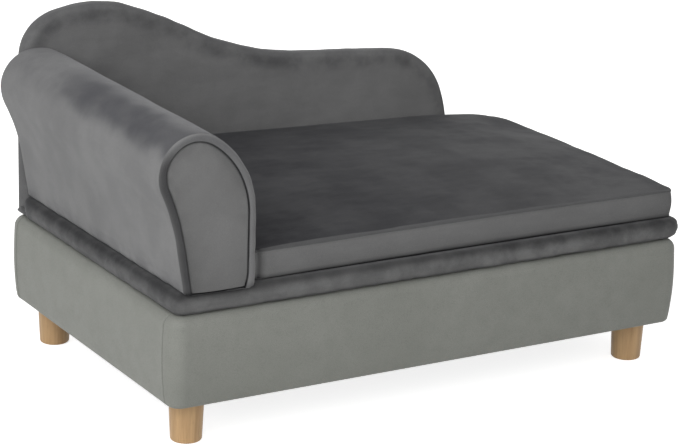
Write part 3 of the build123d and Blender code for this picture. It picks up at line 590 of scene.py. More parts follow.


# Leatherette: a fine pebbled grain, and painted shade in the seams where it turns

def makeLeather():
    material, tree, shader, place = newMaterial(
        "leatherette", **{"Specular IOR Level": 0.26, "Sheen Weight": 0.04, "Sheen Roughness": 0.5})
    creaseShade = addNode(tree, "Attribute", attribute_name="creaseShade").outputs["Fac"]
    cells = addNode(tree, "TexVoronoi", {"Vector": place, "Scale": 620.0, "Randomness": 0.95},
                    feature="DISTANCE_TO_EDGE").outputs["Distance"]
    pebble = spread(tree, cells, 0.0, 0.22)
    pores = noiseNode(tree, place, 1900.0, 2.0, 0.6)
    drift = noiseNode(tree, place, 5.0, 3.0, 0.55)
    blotch = noiseNode(tree, place, 42.0, 3.0, 0.6)
    base = mixColor(tree, spread(tree, drift, 0.3, 0.7), (0.215, 0.222, 0.2, 1), (0.25, 0.256, 0.234, 1))
    mottled = mixColor(tree, spread(tree, blotch, 0.35, 0.7, 0.0, 0.35), base, (0.2, 0.206, 0.186, 1))
    pitted = mixColor(tree, spread(tree, pebble, 0.0, 1.0, 0.3, 0.0), mottled, (0.12, 0.122, 0.112, 1))
    # painted shade: the marked seams are mixed towards a dark colour
    dark = mixColor(tree, creaseShade, pitted, (0.06, 0.061, 0.056, 1))
    uneven = spread(tree, drift, 0.2, 0.8, 0.48, 0.56)
    rough = math2(tree, "ADD", uneven, math2(tree, "MULTIPLY", blotch, 0.08))
    grain = math2(tree, "ADD", pebble, math2(tree, "MULTIPLY", pores, 0.3))
    finishShader(tree, shader, dark, rough, grain, 0.00009, 0.55)
    return material


# Wood: long grain lines with pores, for the legs, the boards and the rails

def makeGrainGroup():
    inputs = [("Place", "Vector", (0, 0, 0)), ("Light", "Color", (0.6, 0.42, 0.25, 1)),
              ("Dark", "Color", (0.4, 0.26, 0.14, 1)), ("Grain Scale", "Float", 1.0),
              ("Pores", "Float", 0.5)]
    group, given, made = shaderGroup("woodGrain", inputs)
    tree = made[0].id_data
    scaled = addNode(tree, "VectorMath", {0: given["Place"], "Scale": given["Grain Scale"]},
                     operation="SCALE").outputs[0]
    stretched = addNode(tree, "Mapping", {"Vector": scaled, "Scale": (1.0, 1.0, 0.07)}).outputs[0]
    figure = noiseNode(tree, stretched, 95.0, 4.0, 0.6, 0.6)
    fine = noiseNode(tree, stretched, 520.0, 3.0, 0.65)
    pores = spread(tree, noiseNode(tree, stretched, 900.0, 1.0), 0.62, 0.74)
    pored = math2(tree, "MULTIPLY", pores, given["Pores"])
    tone = math2(tree, "ADD", spread(tree, figure, 0.3, 0.72, 0.0, 0.7), math2(tree, "MULTIPLY", fine, 0.35))
    color = mixColor(tree, tone, given["Light"], given["Dark"])
    shaded = mixColor(tree, math2(tree, "MULTIPLY", pored, 0.5), color, (0.12, 0.07, 0.035, 1))
    rough = spread(tree, tone, 0.0, 1.0, 0.42, 0.56, smooth=False)
    groupOut(tree, made, shaded, rough, math2(tree, "SUBTRACT", math2(tree, "MULTIPLY", fine, 0.4), pored))
    return group


woodGrain = makeGrainGroup()

woodLooks = {
    "leg_wood": {"light": (0.56, 0.365, 0.185, 1), "dark": (0.36, 0.215, 0.10, 1), "scale": 1.0,
                 "pores": 0.35, "coat": 0.08, "turn": (0.0, 0.0, 0.0)},
    "softwood": {"light": (0.62, 0.46, 0.27, 1), "dark": (0.45, 0.29, 0.15, 1), "scale": 0.6,
                 "pores": 0.2, "coat": 0.0, "turn": (1.5708, 0.0, 0.0)},
    "panel_board": {"light": (0.50, 0.37, 0.23, 1), "dark": (0.33, 0.22, 0.13, 1), "scale": 0.5,
                    "pores": 0.5, "coat": 0.0, "turn": (0.0, 1.5708, 0.0)},
}


def makeWood(name, look):
    material, tree, shader, place = newMaterial(
        name, **{"Coat Weight": look["coat"], "Coat Roughness": 0.25, "Specular IOR Level": 0.4})
    turned = addNode(tree, "Mapping", {"Vector": place, "Rotation": look["turn"]}).outputs[0]
    out = useGroup(tree, woodGrain, {"Place": turned, "Light": look["light"], "Dark": look["dark"],
                                     "Grain Scale": look["scale"], "Pores": look["pores"]})
    finishShader(tree, shader, out["Color"], out["Roughness"], out["Height"], 0.0002, 0.4)
    return material


# Plated steel: a grey film with fine rub marks

def makeSteelGroup():
    inputs = [("Place", "Vector", (0, 0, 0)), ("Color", "Color", (0.6, 0.6, 0.6, 1)),
              ("Tarnish", "Float", 0.3)]
    group, given, made = shaderGroup("platedSteel", inputs)
    tree = made[0].id_data
    stretched = addNode(tree, "Mapping", {"Vector": given["Place"], "Scale": (0.12, 1.0, 1.0)}).outputs[0]
    rub = noiseNode(tree, stretched, 900.0, 3.0, 0.65)
    cloud = spread(tree, noiseNode(tree, given["Place"], 70.0, 4.0, 0.6), 0.4, 0.7)
    film = math2(tree, "MULTIPLY", cloud, given["Tarnish"])
    color = mixColor(tree, film, given["Color"], (0.3, 0.29, 0.26, 1))
    rubbed = spread(tree, rub, 0.3, 0.7, 0.26, 0.38)
    groupOut(tree, made, color, math2(tree, "ADD", rubbed, math2(tree, "MULTIPLY", film, 0.3)), rub)
    return group


platedSteel = makeSteelGroup()

steelLooks = {
    "zinc_steel": {"color": (0.62, 0.62, 0.63, 1), "tarnish": 0.35},
    "screw_steel": {"color": (0.5, 0.5, 0.49, 1), "tarnish": 0.5},
    "zip_metal": {"color": (0.05, 0.05, 0.055, 1), "tarnish": 0.2},
}


def makeSteel(name, look):
    material, tree, shader, place = newMaterial(name, Metallic=1.0)
    out = useGroup(tree, platedSteel, {"Place": place, "Color": look["color"], "Tarnish": look["tarnish"]})
    finishShader(tree, shader, out["Color"], out["Roughness"], out["Height"], 0.00004, 0.4)
    return material


# Cloths: the bonded lining and the zip's woven tape

def makeBondedCloth():
    material, tree, shader, place = newMaterial(
        "lining_cloth", **{"Sheen Weight": 0.12, "Sheen Roughness": 0.6, "Specular IOR Level": 0.2})
    fibres = noiseNode(tree, place, 420.0, 5.0, 0.75, 1.2)
    cells = addNode(tree, "TexVoronoi", {"Vector": place, "Scale": 640.0, "Randomness": 0.1})
    spots = spread(tree, cells.outputs["Distance"], 0.12, 0.3)
    tangle = spread(tree, fibres, 0.35, 0.68)
    color = mixColor(tree, tangle, (0.014, 0.014, 0.016, 1), (0.045, 0.045, 0.048, 1))
    spotted = mixColor(tree, spread(tree, spots, 0.0, 1.0, 0.4, 0.0), color, (0.01, 0.01, 0.011, 1))
    rough = spread(tree, fibres, 0.3, 0.7, 0.7, 0.9)
    finishShader(tree, shader, spotted, rough, math2(tree, "ADD", fibres, spots), 0.0002, 0.5)
    return material


def makeTape():
    material, tree, shader, place = newMaterial("zip_tape", **{"Specular IOR Level": 0.25})
    weave = addNode(tree, "TexWave", {"Vector": place, "Scale": 700.0, "Distortion": 0.6}).outputs["Fac"]
    across = addNode(tree, "Mapping", {"Vector": place, "Rotation": (0.0, 1.5708, 0.0)}).outputs[0]
    weft = addNode(tree, "TexWave", {"Vector": across, "Scale": 500.0, "Distortion": 0.4}).outputs["Fac"]
    threads = math2(tree, "MULTIPLY", weave, weft)
    color = mixColor(tree, threads, (0.02, 0.02, 0.022, 1), (0.06, 0.06, 0.065, 1))
    rough = spread(tree, threads, 0.0, 1.0, 0.85, 0.6, smooth=False)
    finishShader(tree, shader, color, rough, threads, 0.0002, 0.6)
    return material


materials = dict(velvets)
materials["leatherette"] = makeLeather()
materials["lining_cloth"] = makeBondedCloth()
materials["zip_tape"] = makeTape()
materials.update({name: makeWood(name, look) for name, look in woodLooks.items()})
materials.update({name: makeSteel(name, look) for name, look in steelLooks.items()})
print("materials made:", len(materials))


# Every CAD node takes the finish of its slot

for row in frame["record"]["subparts"]:
    finish = materials.get(row["material_slot"])
    node = nodes[row["node"]]
    if finish is None:
        continue
    if not node.material_slots:
        node.data.materials.append(finish)
    for slot in node.material_slots:
        slot.material = finish


# Storage box skin

boxSkin = {
    "cornerRadius": 0.020,
    "topRoundover": 0.0145,
    "bottomRoundover": 0.006,
    "rimRadius": 0.0022,
    "lipInset": 0.023,
    "lipDrop": 0.025,
    "flangeInset": 0.030,
    "leather": 0.001,
    "sideCrown": 0.0014,
    "taper": 0.0022,
    "taperHeight": 0.07,
    "smallestRadius": 0.0012,
    "wallRings": 22,
    "clear": 0.0003,
    "foamWaves": [(0.00035, 0.085, 3)],
    "rimWaves": [(0.00022, 0.020, 4)],
    "rimReach": 0.012,
    "seamFromCorner": 0.004,
    "seamDepth": 0.0008,
    "seamWidth": 0.0011,
    "lipHeight": 0.00028,
    "puckerLength": 0.0085,
    "puckerReach": 0.006,
    "puckerHeight": 0.00012,
    "seamShade": 0.35,
    "hingeFloor": 0.1687,
}
hingeHalf, hingeEase = 0.0308, 0.003


def boxSpans(halfX, halfY, radius, seamFromCorner):
    # straight parts of the path, as shares from -1 to 1, close together beside the corner seams
    seam = 1 - seamFromCorner / (halfY - radius)
    near = np.linspace(-0.035, 0.035, 29)
    spanY = np.unique(np.concatenate([np.linspace(-1, 1, 72), seam + near, -seam + near]).clip(-1, 1))
    pockets = []
    for middle in hingeMiddles:
        for edge in (-1, 1):
            pockets.append((middle[0] - middleX + edge * hingeHalf) / (halfX - radius))
    dense = [p + np.linspace(-0.012, 0.012, 9) for p in pockets]
    spanX = np.unique(np.concatenate([np.linspace(-1, 1, 120)] + dense + [-d for d in dense]))
    return spanX, spanY


def byHinge(points, middle):
    # 1 across a hinge's leaves, easing to 0 just past them
    return smoothStep((hingeHalf + hingeEase - np.abs(points[:, 0] - middle[0])) / hingeEase)


def makeBoxSkin(s):
    halfX = (boxHigh[0] - boxLow[0]) / 2
    halfY = (boxHigh[1] - boxLow[1]) / 2
    low, high = boxLow[2], boxHigh[2]
    top, bottom, rim = s["topRoundover"], s["bottomRoundover"], s["rimRadius"]
    quarter = np.radians(np.linspace(0, 90, 13))
    wall = low + bottom + (high - top - low - bottom) * np.linspace(1, 0, s["wallRings"])[1:-1]
    crown = 1 - np.linspace(-1, 1, s["wallRings"])[1:-1] ** 2
    panelInset = panelLow[0] - boxLow[0]
    storeInset = s["lipInset"] - s["leather"]
    profile = [(s["lipInset"], high - s["lipDrop"] + share * (s["lipDrop"] - rim))
               for share in np.linspace(0, 1, 8)]
    profile += [(s["lipInset"] - rim * (1 - math.cos(a)), high - rim * (1 - math.sin(a)))
                for a in quarter[1::3]]
    profile += [(inset, high) for inset in np.linspace(s["lipInset"] - rim - 0.001, top, 5)]
    profile += [(top * (1 - math.sin(a)), high - top * (1 - math.cos(a))) for a in quarter[1:]]
    # the sides draw in by the square of the way down from the taper's height
    drawn = s["taper"] * np.clip((low + s["taperHeight"] - wall) / s["taperHeight"], 0, 1) ** 2
    profile += [(inward - s["sideCrown"] * c, z) for inward, c, z in zip(drawn, crown, wall)]
    profile += [(s["taper"] + bottom * (1 - math.cos(a)), low + bottom * (1 - math.sin(a)))
                for a in quarter[::2]]
    profile += [(inset, low) for inset in np.linspace(s["taper"] + bottom, s["flangeInset"], 6)[1:]]
    inner = s["clear"]
    profile += [(s["flangeInset"], low + s["leather"] - inner / 3),
                (panelInset - inner, low + s["leather"] - inner / 3),
                (panelInset - inner, wallHigh[2] + inner), (storeInset + inner, wallHigh[2] + inner),
                (storeInset + inner, high - s["lipDrop"])]
    spanX, spanY = boxSpans(halfX, halfY, s["cornerRadius"], s["seamFromCorner"])
    rings = []
    for inset, z in profile:
        radius = max(s["cornerRadius"] - inset, s["smallestRadius"])
        rings.append(lying(roundedLoop(halfX - inset, halfY - inset, radius, spanX, spanY, 8), z, middleX))
    rings = np.array(rings)
    index = np.arange(rings.shape[0] * rings.shape[1]).reshape(rings.shape[:2])
    skin = buildMesh("box_skin", rings, gridFaces(index, closeU=True, closeV=True))

    # soft undulation on the foam, and pressed seams with a lip each side and small puckers
    points = readPoints(skin)
    outer = smoothStep((points[:, 2] - low - 0.002) / 0.006)
    side = np.abs(points[:, 0] - middleX) > halfX - panelInset + 0.001
    face = (np.abs(points[:, 1]) > halfY - panelInset + 0.001) | side
    reach = np.abs(np.abs(points[:, 1]) - (halfY - s["cornerRadius"] - s["seamFromCorner"]))
    atEnd = np.abs(points[:, 0] - middleX) > halfX - s["topRoundover"]
    onSide = atEnd & (np.abs(points[:, 1]) < halfY - s["puckerReach"])
    push = rippled(points, s["foamWaves"]) * face * outer
    nearRim = bump(high - s["rimReach"] - points[:, 2], s["rimReach"])
    push += rippled(points * (1, 1, 0.45), s["rimWaves"]) * nearRim * face
    groove = bump(reach, s["seamWidth"]) * onSide * face
    lips = (bump(reach - 2.4 * s["seamWidth"], 1.4 * s["seamWidth"])) * onSide * face
    puckers = np.sin(points[:, 2] * tau / s["puckerLength"]) * bump(reach, s["puckerReach"]) * onSide * face
    push += -s["seamDepth"] * groove + s["lipHeight"] * lips + s["puckerHeight"] * puckers
    pushOut(skin, push)

    # the leather is pressed flat under the hinge leaves
    points = readPoints(skin)
    for middle in hingeMiddles:
        nearTop = (points[:, 2] > s["hingeFloor"]) & (points[:, 1] > halfY - s["lipInset"] - 0.002)
        points[:, 2] -= byHinge(points, middle) * nearTop * (points[:, 2] - s["hingeFloor"])
    movePoints(skin, points)
    # painted shade in the seam grooves
    paint(skin, "creaseShade", s["seamShade"] * groove)
    place(skin, "base", "leatherette", ("base_cover", "base_padding"), 0.9)


makeBoxSkin(boxSkin)
print("storage box skin made")


# Lid skin

lidSkin = {
    "cornerRadius": 0.015,
    "topRoundover": 0.0085,
    "bottomRoundover": 0.0085,
    "sideCrown": 0.0012,
    "flangeInset": 0.028,
    "boardEdge": 0.0042,
    "boardChamfer": 0.004,
    "smallestRadius": 0.0012,
    "clear": 0.0002,
    "leftIn": 0.0026,
    "rightOut": 0.0076,
    "rearTuck": 0.0066,
    "underBack": 0.0022,
    "coverWaves": [(0.0004, 0.045, 11), (0.0002, 0.016, 12)],
    "hemWaves": [(0.0003, 0.015, 13)],
    "hemHeight": 0.004,
    "countX": 150,
    "countY": 96,
    "arcCount": 7,
}


def makeLidSkin(s):
    halfX = (lidHigh[0] - lidLow[0]) / 2
    halfY = (lidHigh[1] - lidLow[1]) / 2
    low, high = lidLow[2], lidHigh[2]
    top, bottom = s["topRoundover"], s["bottomRoundover"]
    quarter = np.radians(np.linspace(0, 90, 9))
    clear = s["clear"]
    profile = [(s["boardEdge"] + 0.002, boardHigh[2] + clear), (s["boardEdge"] - clear, boardHigh[2] + clear),
               (s["boardEdge"] - clear, boardLow[2] + s["boardChamfer"]),
               (s["boardEdge"] + s["boardChamfer"], boardLow[2] - clear),
               (s["flangeInset"], boardLow[2] - clear), (s["flangeInset"], low)]
    hidden = len(profile)
    profile += [(inset, low) for inset in np.linspace(s["flangeInset"], bottom, 6)[1:-1]]
    profile += [(bottom * (1 - math.sin(a)), low + bottom * (1 - math.cos(a))) for a in quarter]
    wall = np.linspace(low + bottom, high - top, 8)[1:-1]
    swelled = 1 - np.linspace(-1, 1, 8)[1:-1] ** 2
    profile += [(-s["sideCrown"] * c, z) for c, z in zip(swelled, wall)]
    profile += [(top * (1 - math.cos(a)), high - top * (1 - math.sin(a))) for a in quarter]
    spanX, spanY = np.linspace(-1, 1, s["countX"]), np.linspace(-1, 1, s["countY"])
    arcCount = s["arcCount"]
    rings = []
    for number, (inset, z) in enumerate(profile):
        radius = max(s["cornerRadius"] - inset, s["smallestRadius"])
        ring = lying(roundedLoop(halfX - inset, halfY - inset, radius, spanX, spanY, arcCount), z, middleX)
        if number >= hidden:
            # the cover is pulled in a little at the left, most at the rear corner, and sits out at the right
            leftEnd = smoothStep((middleX - ring[:, 0] - halfX + 0.02) / 0.02)
            rightEnd = smoothStep((ring[:, 0] - middleX - halfX + 0.02) / 0.02)
            atRear = smoothStep((ring[:, 1] - halfY + 0.04) / 0.03)
            ring[:, 0] += leftEnd * (s["leftIn"] + s["rearTuck"] * atRear) + rightEnd * s["rightOut"]
        rings.append(ring)
    skin = shellBetween("lid_skin", np.array(rings), len(spanX) + 2 * arcCount, len(spanY) + 2 * arcCount)
    outer = takeMark(skin, "ring") >= hidden

    points = readPoints(skin)
    past = np.maximum(np.abs(points[:, 0] - middleX) - halfX, np.abs(points[:, 1]) - halfY)
    side = smoothStep((past + 0.014) / 0.010) * outer
    push = side * rippled(points, s["coverWaves"])
    hem = bump(points[:, 2] - low - s["hemHeight"], s["hemHeight"]) * side
    push += hem * rippled(points * (1, 1, 0.2), s["hemWaves"])
    pushOut(skin, push)
    points = readPoints(skin)
    for middle in hingeMiddles:
        rear = smoothStep((points[:, 1] - halfY + s["flangeInset"] - 0.004) / 0.004)
        lowPart = np.clip(boardLow[2] + 0.0001 - points[:, 2], 0, None)
        points[:, 2] += byHinge(points, middle) * rear * lowPart
    # behind the back's cover the lid stays inside it
    covered = points[:, 0] < backHigh[0] - 0.004
    points[:, 1] = np.where(covered, np.minimum(points[:, 1], backHigh[1] - s["underBack"]), points[:, 1])
    movePoints(skin, points)
    # painted shade: darker along the left under the arm, and along the top under the cushion's overhang, more
    # and more towards the right
    onLeft = smoothStep((middleX - halfX + 0.03 - points[:, 0]) / 0.025)
    alongFront = smoothStep((points[:, 0] - middleX + 0.20) / (1.2 * halfX))
    upper = smoothStep((points[:, 2] - low - 0.010) / 0.012)
    tone = 0.74 - 0.37 * onLeft - 0.14 * alongFront * upper - 0.15 * upper
    paint(skin, "tone", tone + 0.12 * (1 - upper) * onLeft)
    paint(skin, "nap", 0.20 + 0.05 * onLeft + 0.18 * alongFront)
    # painted shadow along the lid's foot on the box and under the cushion along its top
    edgeShadows = 0.55 * bump(points[:, 2] - low - 0.001, 0.0032) + 0.50 * bump(points[:, 2] - high + 0.002, 0.0045)
    paint(skin, "shade", edgeShadows * side)
    place(skin, "lid", "velvet_lid", ("lid_cover", "lid_padding"), 0.85)


makeLidSkin(lidSkin)
print("lid skin made")


# Arm: the outline of its end, a leaning foot, a neck, the scroll and the broad shoulder

armForm = {
    "footWidth": 0.0956,
    "lean": 0.165,
    "shoulderHeight": 0.0902,
    "shoulderRadius": 0.115,
    "scrollRadius": 0.0492,
    "scrollTurn": 58.0,
    "neckRadius": 0.290,
    "footCurl": 0.009,
    "cornerTurn": 0.45,
    "cornerHeight": 0.020,
    "sink": 0.0014,
    "rearLift": 0.0066,
    "rearLean": 0.0054,
    "frontRoundover": 0.0055,
    "rearRoundover": 0.005,
    "band": 0.0100,
    "grooveDepth": 0.0045,
    "facingGap": 0.0004,
    "facingCounts": (61, 90),
    "facingCorners": (0.40, 0.66),
    "facingSet": 0.0012,
    "facingRoundover": 0.0032,
    "facingCrown": 0.0028,
    "facingSlope": 0.032,
    "facingWaves": [(0.0003, 0.05, 31)],
    "sideWaves": [(0.0009, 0.12, 21), (0.0004, 0.040, 22)],
    "seamWaves": [(0.00035, 0.5, 23)],
    "hemWaves": [(0.0006, 0.020, 24)],
    "ridgeWaves": [(3.5, 0.035, 25)],
    "curvePoints": 200,
    "footPoints": 14,
    "stations": 66,
    "cap": 0.0015,
}


def armCurve(s):
    # anticlockwise turn is positive; the curve runs from the outer foot up, over and down the inner side
    floor = armLow[2]
    innerX = armHigh[0]
    footX = innerX - s["footWidth"]
    shoulder = np.array([innerX - s["shoulderRadius"], floor + s["shoulderHeight"]])
    turn = math.radians(s["scrollTurn"])
    offset = s["shoulderRadius"] - s["scrollRadius"]
    scroll = shoulder + offset * np.array([math.cos(turn), math.sin(turn)])
    start = np.array([footX, floor])
    rise = np.array([-s["lean"], 1.0]) / math.hypot(s["lean"], 1.0)
    outward = np.array([-rise[1], rise[0]])
    # the neck's centre is one neck radius outside the lean line and touches the scroll
    towards = scroll - start - s["neckRadius"] * outward
    alongLine = towards @ rise
    apart = math.sqrt((s["scrollRadius"] + s["neckRadius"]) ** 2 - (towards @ outward) ** 2)
    neck = start + (alongLine - apart) * rise + s["neckRadius"] * outward
    lineEnd = neck - s["neckRadius"] * outward
    degrees = lambda v: math.degrees(math.atan2(v[1], v[0]))
    fromNeck, toNeck = degrees(-outward), degrees(scroll - neck)
    neckArc = arcPoints(neck, s["neckRadius"], fromNeck, toNeck)
    scrollStart = degrees(neck - scroll) % 360
    scrollArc = arcPoints(scroll, s["scrollRadius"], scrollStart, s["scrollTurn"], 120)
    shoulderArc = arcPoints(shoulder, s["shoulderRadius"], s["scrollTurn"], 0, 80)
    parts = [np.linspace(start, lineEnd, 60)[:-1], neckArc[:-1], scrollArc[:-1], shoulderArc[:-1],
             np.linspace(shoulderArc[-1], [innerX, floor], 50)]
    return np.concatenate(parts), scroll


def bandWidening(s, curve):
    # the border band grows towards the foot of the inner side, where its seam turns the corner
    low = np.clip(1 - (curve[:, 1] - curve[:, 1].min()) / s["cornerHeight"], 0, 1) ** 2
    return 1 + s["cornerTurn"] * low * (np.arange(len(curve)) > len(curve) / 2)


def armRing(s, curve, normals, inset):
    # the outline moved in, but never less than the curl that tucks its ends in at the foot
    height = np.clip(s["footCurl"] - (curve[:, 1] - curve[:, 1].min()), 0, s["footCurl"])
    curl = s["footCurl"] - np.sqrt(s["footCurl"] ** 2 - height**2)
    return curve - normals * np.maximum(curl, inset * bandWidening(s, curve))[:, None]


def makeArmSkin(s):
    dense, scroll = armCurve(s)
    count = s["curvePoints"]
    curve = alongCurve(dense, np.linspace(0, 1, count))
    normals = sideNormals(curve)
    under = s["footPoints"]
    quarter = np.radians(np.linspace(0, 90, 8))
    front, rear = armLow[1], armHigh[1]
    fr, rr = s["frontRoundover"], s["rearRoundover"]
    stations = [(0.012, rear), (0.008, rear)]
    stations += [(rr * (1 - math.sin(a)), rear - rr * (1 - math.cos(a))) for a in quarter]
    stations += [(0.0, y) for y in np.linspace(rear - rr, front + fr, s["stations"])[1:-1]]
    turned = len(stations)
    stations += [(fr * (1 - math.cos(a)), front + fr * (1 - math.sin(a))) for a in quarter]
    flat = np.linspace(fr, s["band"], 6)[1:]
    stations += [(inset, front + 0.0010 * ((inset - fr) / (s["band"] - fr)) ** 2) for inset in flat]
    grooved = len(stations)
    stations += [(s["band"] + 0.0004, front + 0.0022), (s["band"] + 0.0005, front + s["grooveDepth"]),
                 (s["band"] + 0.0030, front + s["grooveDepth"] + 0.0008)]
    rings = []
    for inset, y in stations:
        outline = armRing(s, curve, normals, inset)
        foot = np.linspace(outline[-1], outline[0], under + 2)[1:-1]
        rings.append(standing(np.concatenate([outline, foot]), y))
    rings = np.array(rings)
    index = np.arange(rings.shape[0] * rings.shape[1]).reshape(rings.shape[:2])
    along = np.concatenate([np.linspace(0, 1, count), np.full(under, 2.0)])
    marks = {"station": np.repeat(np.arange(len(stations)), len(along)),
             "along": np.tile(along, len(stations))}
    skin = buildMesh("arm_skin", rings, gridFaces(index, closeV=True), [index[0], index[-1][::-1]], marks)
    station, along = takeMark(skin, "station"), takeMark(skin, "along")
    floor = armLow[2]

    # the cover is held at both ends, along the foot and at the front seam
    points = readPoints(skin)
    held = (station < 8) | (station > turned - 3) | (points[:, 2] < floor + 0.014)
    swell(skin, held, s["cap"])
    points = readPoints(skin)
    body = smoothStep((points[:, 1] - front - 0.012) / 0.03) * smoothStep((rear - points[:, 1]) / 0.03)
    above = smoothStep((points[:, 2] - floor - 0.003) / 0.012)
    # the ridge stays straight, the side below it is softer
    slack = 1 - 0.75 * smoothStep((points[:, 2] - scroll[1] + 0.01) / 0.03)
    push = body * above * slack * rippled(points, s["sideWaves"])
    # the cover is drawn in along the front seam in small puckers
    nearSeam = bump(points[:, 1] - front - 0.006, 0.010) * above
    push += nearSeam * rippled(np.column_stack([along * 9, along * 0, along * 0]), s["seamWaves"])
    hem = bump(points[:, 2] - floor - 0.009, 0.007) * body
    push += hem * rippled(points * (0, 1, 0.15), s["hemWaves"])
    pushOut(skin, push)
    # the scroll grows fuller and rises towards the rear, and the foot sinks into the lid's cover
    points = readPoints(skin)
    toRear = (points[:, 1] - front) / (rear - front)
    high = smoothStep((points[:, 2] - floor - 0.09) / 0.07)
    points[:, 2] += s["rearLift"] * toRear * high
    points[:, 0] -= s["rearLean"] * toRear * high * smoothStep((scroll[0] + 0.02 - points[:, 0]) / 0.04)
    points[:, 2] -= s["sink"] * smoothStep((floor + 0.012 - points[:, 2]) / 0.012)
    movePoints(skin, points)

    # the pile's lie and painted shade darken the upper outside of the scroll, over the front half, fading
    # behind it
    lifted = scroll[1] + s["rearLift"] * toRear
    angle = np.degrees(np.arctan2(points[:, 2] - lifted, scroll[0] - points[:, 0]))
    wander = rippled(points, s["ridgeWaves"])
    ridge = smoothStep((angle - 14 + wander) / 34) * (1 - 0.6 * smoothStep((angle - 70 + wander) / 34))
    ridge *= 1 - 0.72 * smoothStep((toRear - 0.46 + 0.006 * wander) / 0.30)
    # painted shade near the foot, where the arm sits on the lid
    foot = bump(points[:, 2] - floor, 0.016)
    onBand = station >= turned + 3
    # painted light: the band is lightest at its outer edge, a painted highlight along the roundover, and
    # greyer over the top than down its inner side
    rim = bump(station - turned - 3, 1.6)
    overTop = bump(along - 0.52, 0.10)
    bandTone = 0.62 + 0.30 * rim - 0.16 * overTop * (1 - rim)
    paint(skin, "tone", np.where(onBand, bandTone, 0.88 - 0.70 * ridge - 0.20 * foot))
    paint(skin, "nap", np.where(onBand, 0.12, 0.14 + 0.48 * ridge * (1 - ridge) + 0.24 * foot))
    # painted shade: the border band is dark from the foot up its outer side and over the scroll's left, the
    # groove darker still, and a line along the foot
    darkSide = smoothStep((0.44 - along) / 0.09) * onBand
    groove = (station >= grooved - 1) * 1.0
    shade = 0.62 * darkSide + (0.85 - 0.62 * darkSide) * groove + 0.4 * bump(points[:, 2] - floor, 0.004)
    paint(skin, "shade", shade)
    place(skin, "lid", "velvet_arm", ("arm_cover", "arm_padding"), 0.85)
    return dense


def makeFacing(s, dense):
    curve = alongCurve(dense, np.linspace(0, 1, s["curvePoints"]))
    normals = sideNormals(curve)
    edge = curve - normals * ((s["band"] + s["facingGap"]) * bandWidening(s, curve))[:, None]
    edge[:, 1] = np.maximum(edge[:, 1], facingLow[2])
    # the sides are straight down to the foot, so the ends keep the width that they have above the curl
    countU, countV = s["facingCounts"]
    first, second = s["facingCorners"]
    shares = np.concatenate([np.linspace(0, first, countV), np.linspace(first, second, countU)[1:],
                             np.linspace(second, 1, countV)[1:]])
    outline = alongCurve(edge, shares)
    left = outline[:countV]
    top = outline[countV - 1 : countV + countU - 1]
    right = outline[countV + countU - 2 :]
    bottom = np.linspace(left[0], right[-1], countU)
    loop = np.concatenate([bottom[:-1], right[::-1][:-1], top[::-1][:-1], left[::-1][:-1]])
    inward = closedInward(loop)
    face, behind, turn = armLow[1] + s["facingSet"], facingHigh[1], s["facingRoundover"]
    quarter = np.radians(np.linspace(0, 90, 7))
    profile = [(0.003, behind - 0.0002), (0.0, behind - 0.0002), (0.0, face + turn + 0.001)]
    profile += [(turn * (1 - math.cos(a)), face + turn * (1 - math.sin(a))) for a in quarter]
    keep = smoothStep((loop[:, 1] - facingLow[2]) / 0.004) * 0.7 + 0.3
    rings = [standing(loop + inward * (inset * keep)[:, None], y) for inset, y in profile]
    piece = shellBetween("arm_facing_pad", np.array(rings), countU, countV)
    points = readPoints(piece)
    border = alongCurve(edge, np.linspace(0, 1, 200))
    gap = np.min(np.linalg.norm(points[:, None, [0, 2]] - border[None], axis=2), axis=1)
    crown = s["facingCrown"] * (1 - (1 - np.clip(gap / s["facingSlope"], 0, 1)) ** 2)
    frontSide = points[:, 1] < face + 0.0005
    points[:, 1] -= crown * frontSide
    points[:, 1] -= frontSide * smoothStep(gap / 0.012) * rippled(points, s["facingWaves"])
    movePoints(piece, points)
    # painted light: lighter towards the top; painted shade near its edge, deepest right at the groove round
    # it
    upward = smoothStep((points[:, 2] - facingLow[2]) / 0.09)
    paint(piece, "tone", 0.66 + 0.19 * upward - 0.12 * bump(gap, 0.012))
    paint(piece, "nap", 0.16 + 0.25 * bump(gap, 0.012))
    paint(piece, "shade", 0.45 * bump(gap, 0.0020))
    place(piece, "lid", "velvet_facing", ("arm_front_facing",), 0.8)


makeFacing(armForm, makeArmSkin(armForm))
print("arm made")


# Back: a padded board whose top falls in a wave from a crest over the arm

backForm = {
    "length": 0.666,
    "rise": 0.2525,
    "rounding": 0.0085,
    "footZ": 0.1757,
    "flatTo": 0.330,
    "pressure": 0.7,
    "waveShares": [(0.0, 0.7153), (0.0713, 0.968), (0.2443, 0.9571), (0.3657, 0.8196),
                   (0.6388, 0.6251), (0.8513, 0.587), (0.9803, 0.3304)],
    "crown": 0.0014,
    "crownSlope": 0.06,
    "faceWaves": [(0.0008, 0.11, 41), (0.0004, 0.035, 42)],
    "topWaves": [(0.0004, 0.03, 43)],
    "countU": 140,
    "countV": 64,
    "cap": 0.0022,
}


def backOutline(s):
    floor, leftX = backLow[2], backLow[0]
    wave = [(leftX + x * s["length"], floor + z * s["rise"]) for x, z in s["waveShares"]]
    heading = math.pi / 2
    pieces = []
    for start, end in zip(wave, wave[1:]):
        points, heading = tangentArc(start, end, heading)
        pieces.append(points[:-1])
    endX = leftX + s["length"]
    # the last arc ends straight down, so its chord heads midway between that and the way it starts
    starts = heading % tau - tau if heading % tau > math.pi else heading
    chordHeading = (starts - math.pi / 2) / 2
    endZ = wave[-1][1] + (endX - wave[-1][0]) * math.tan(chordHeading)
    points, heading = tangentArc(wave[-1], (endX, endZ), heading)
    pieces.append(points)
    return np.concatenate(pieces), (leftX, s["footZ"]), (endX, s["footZ"])


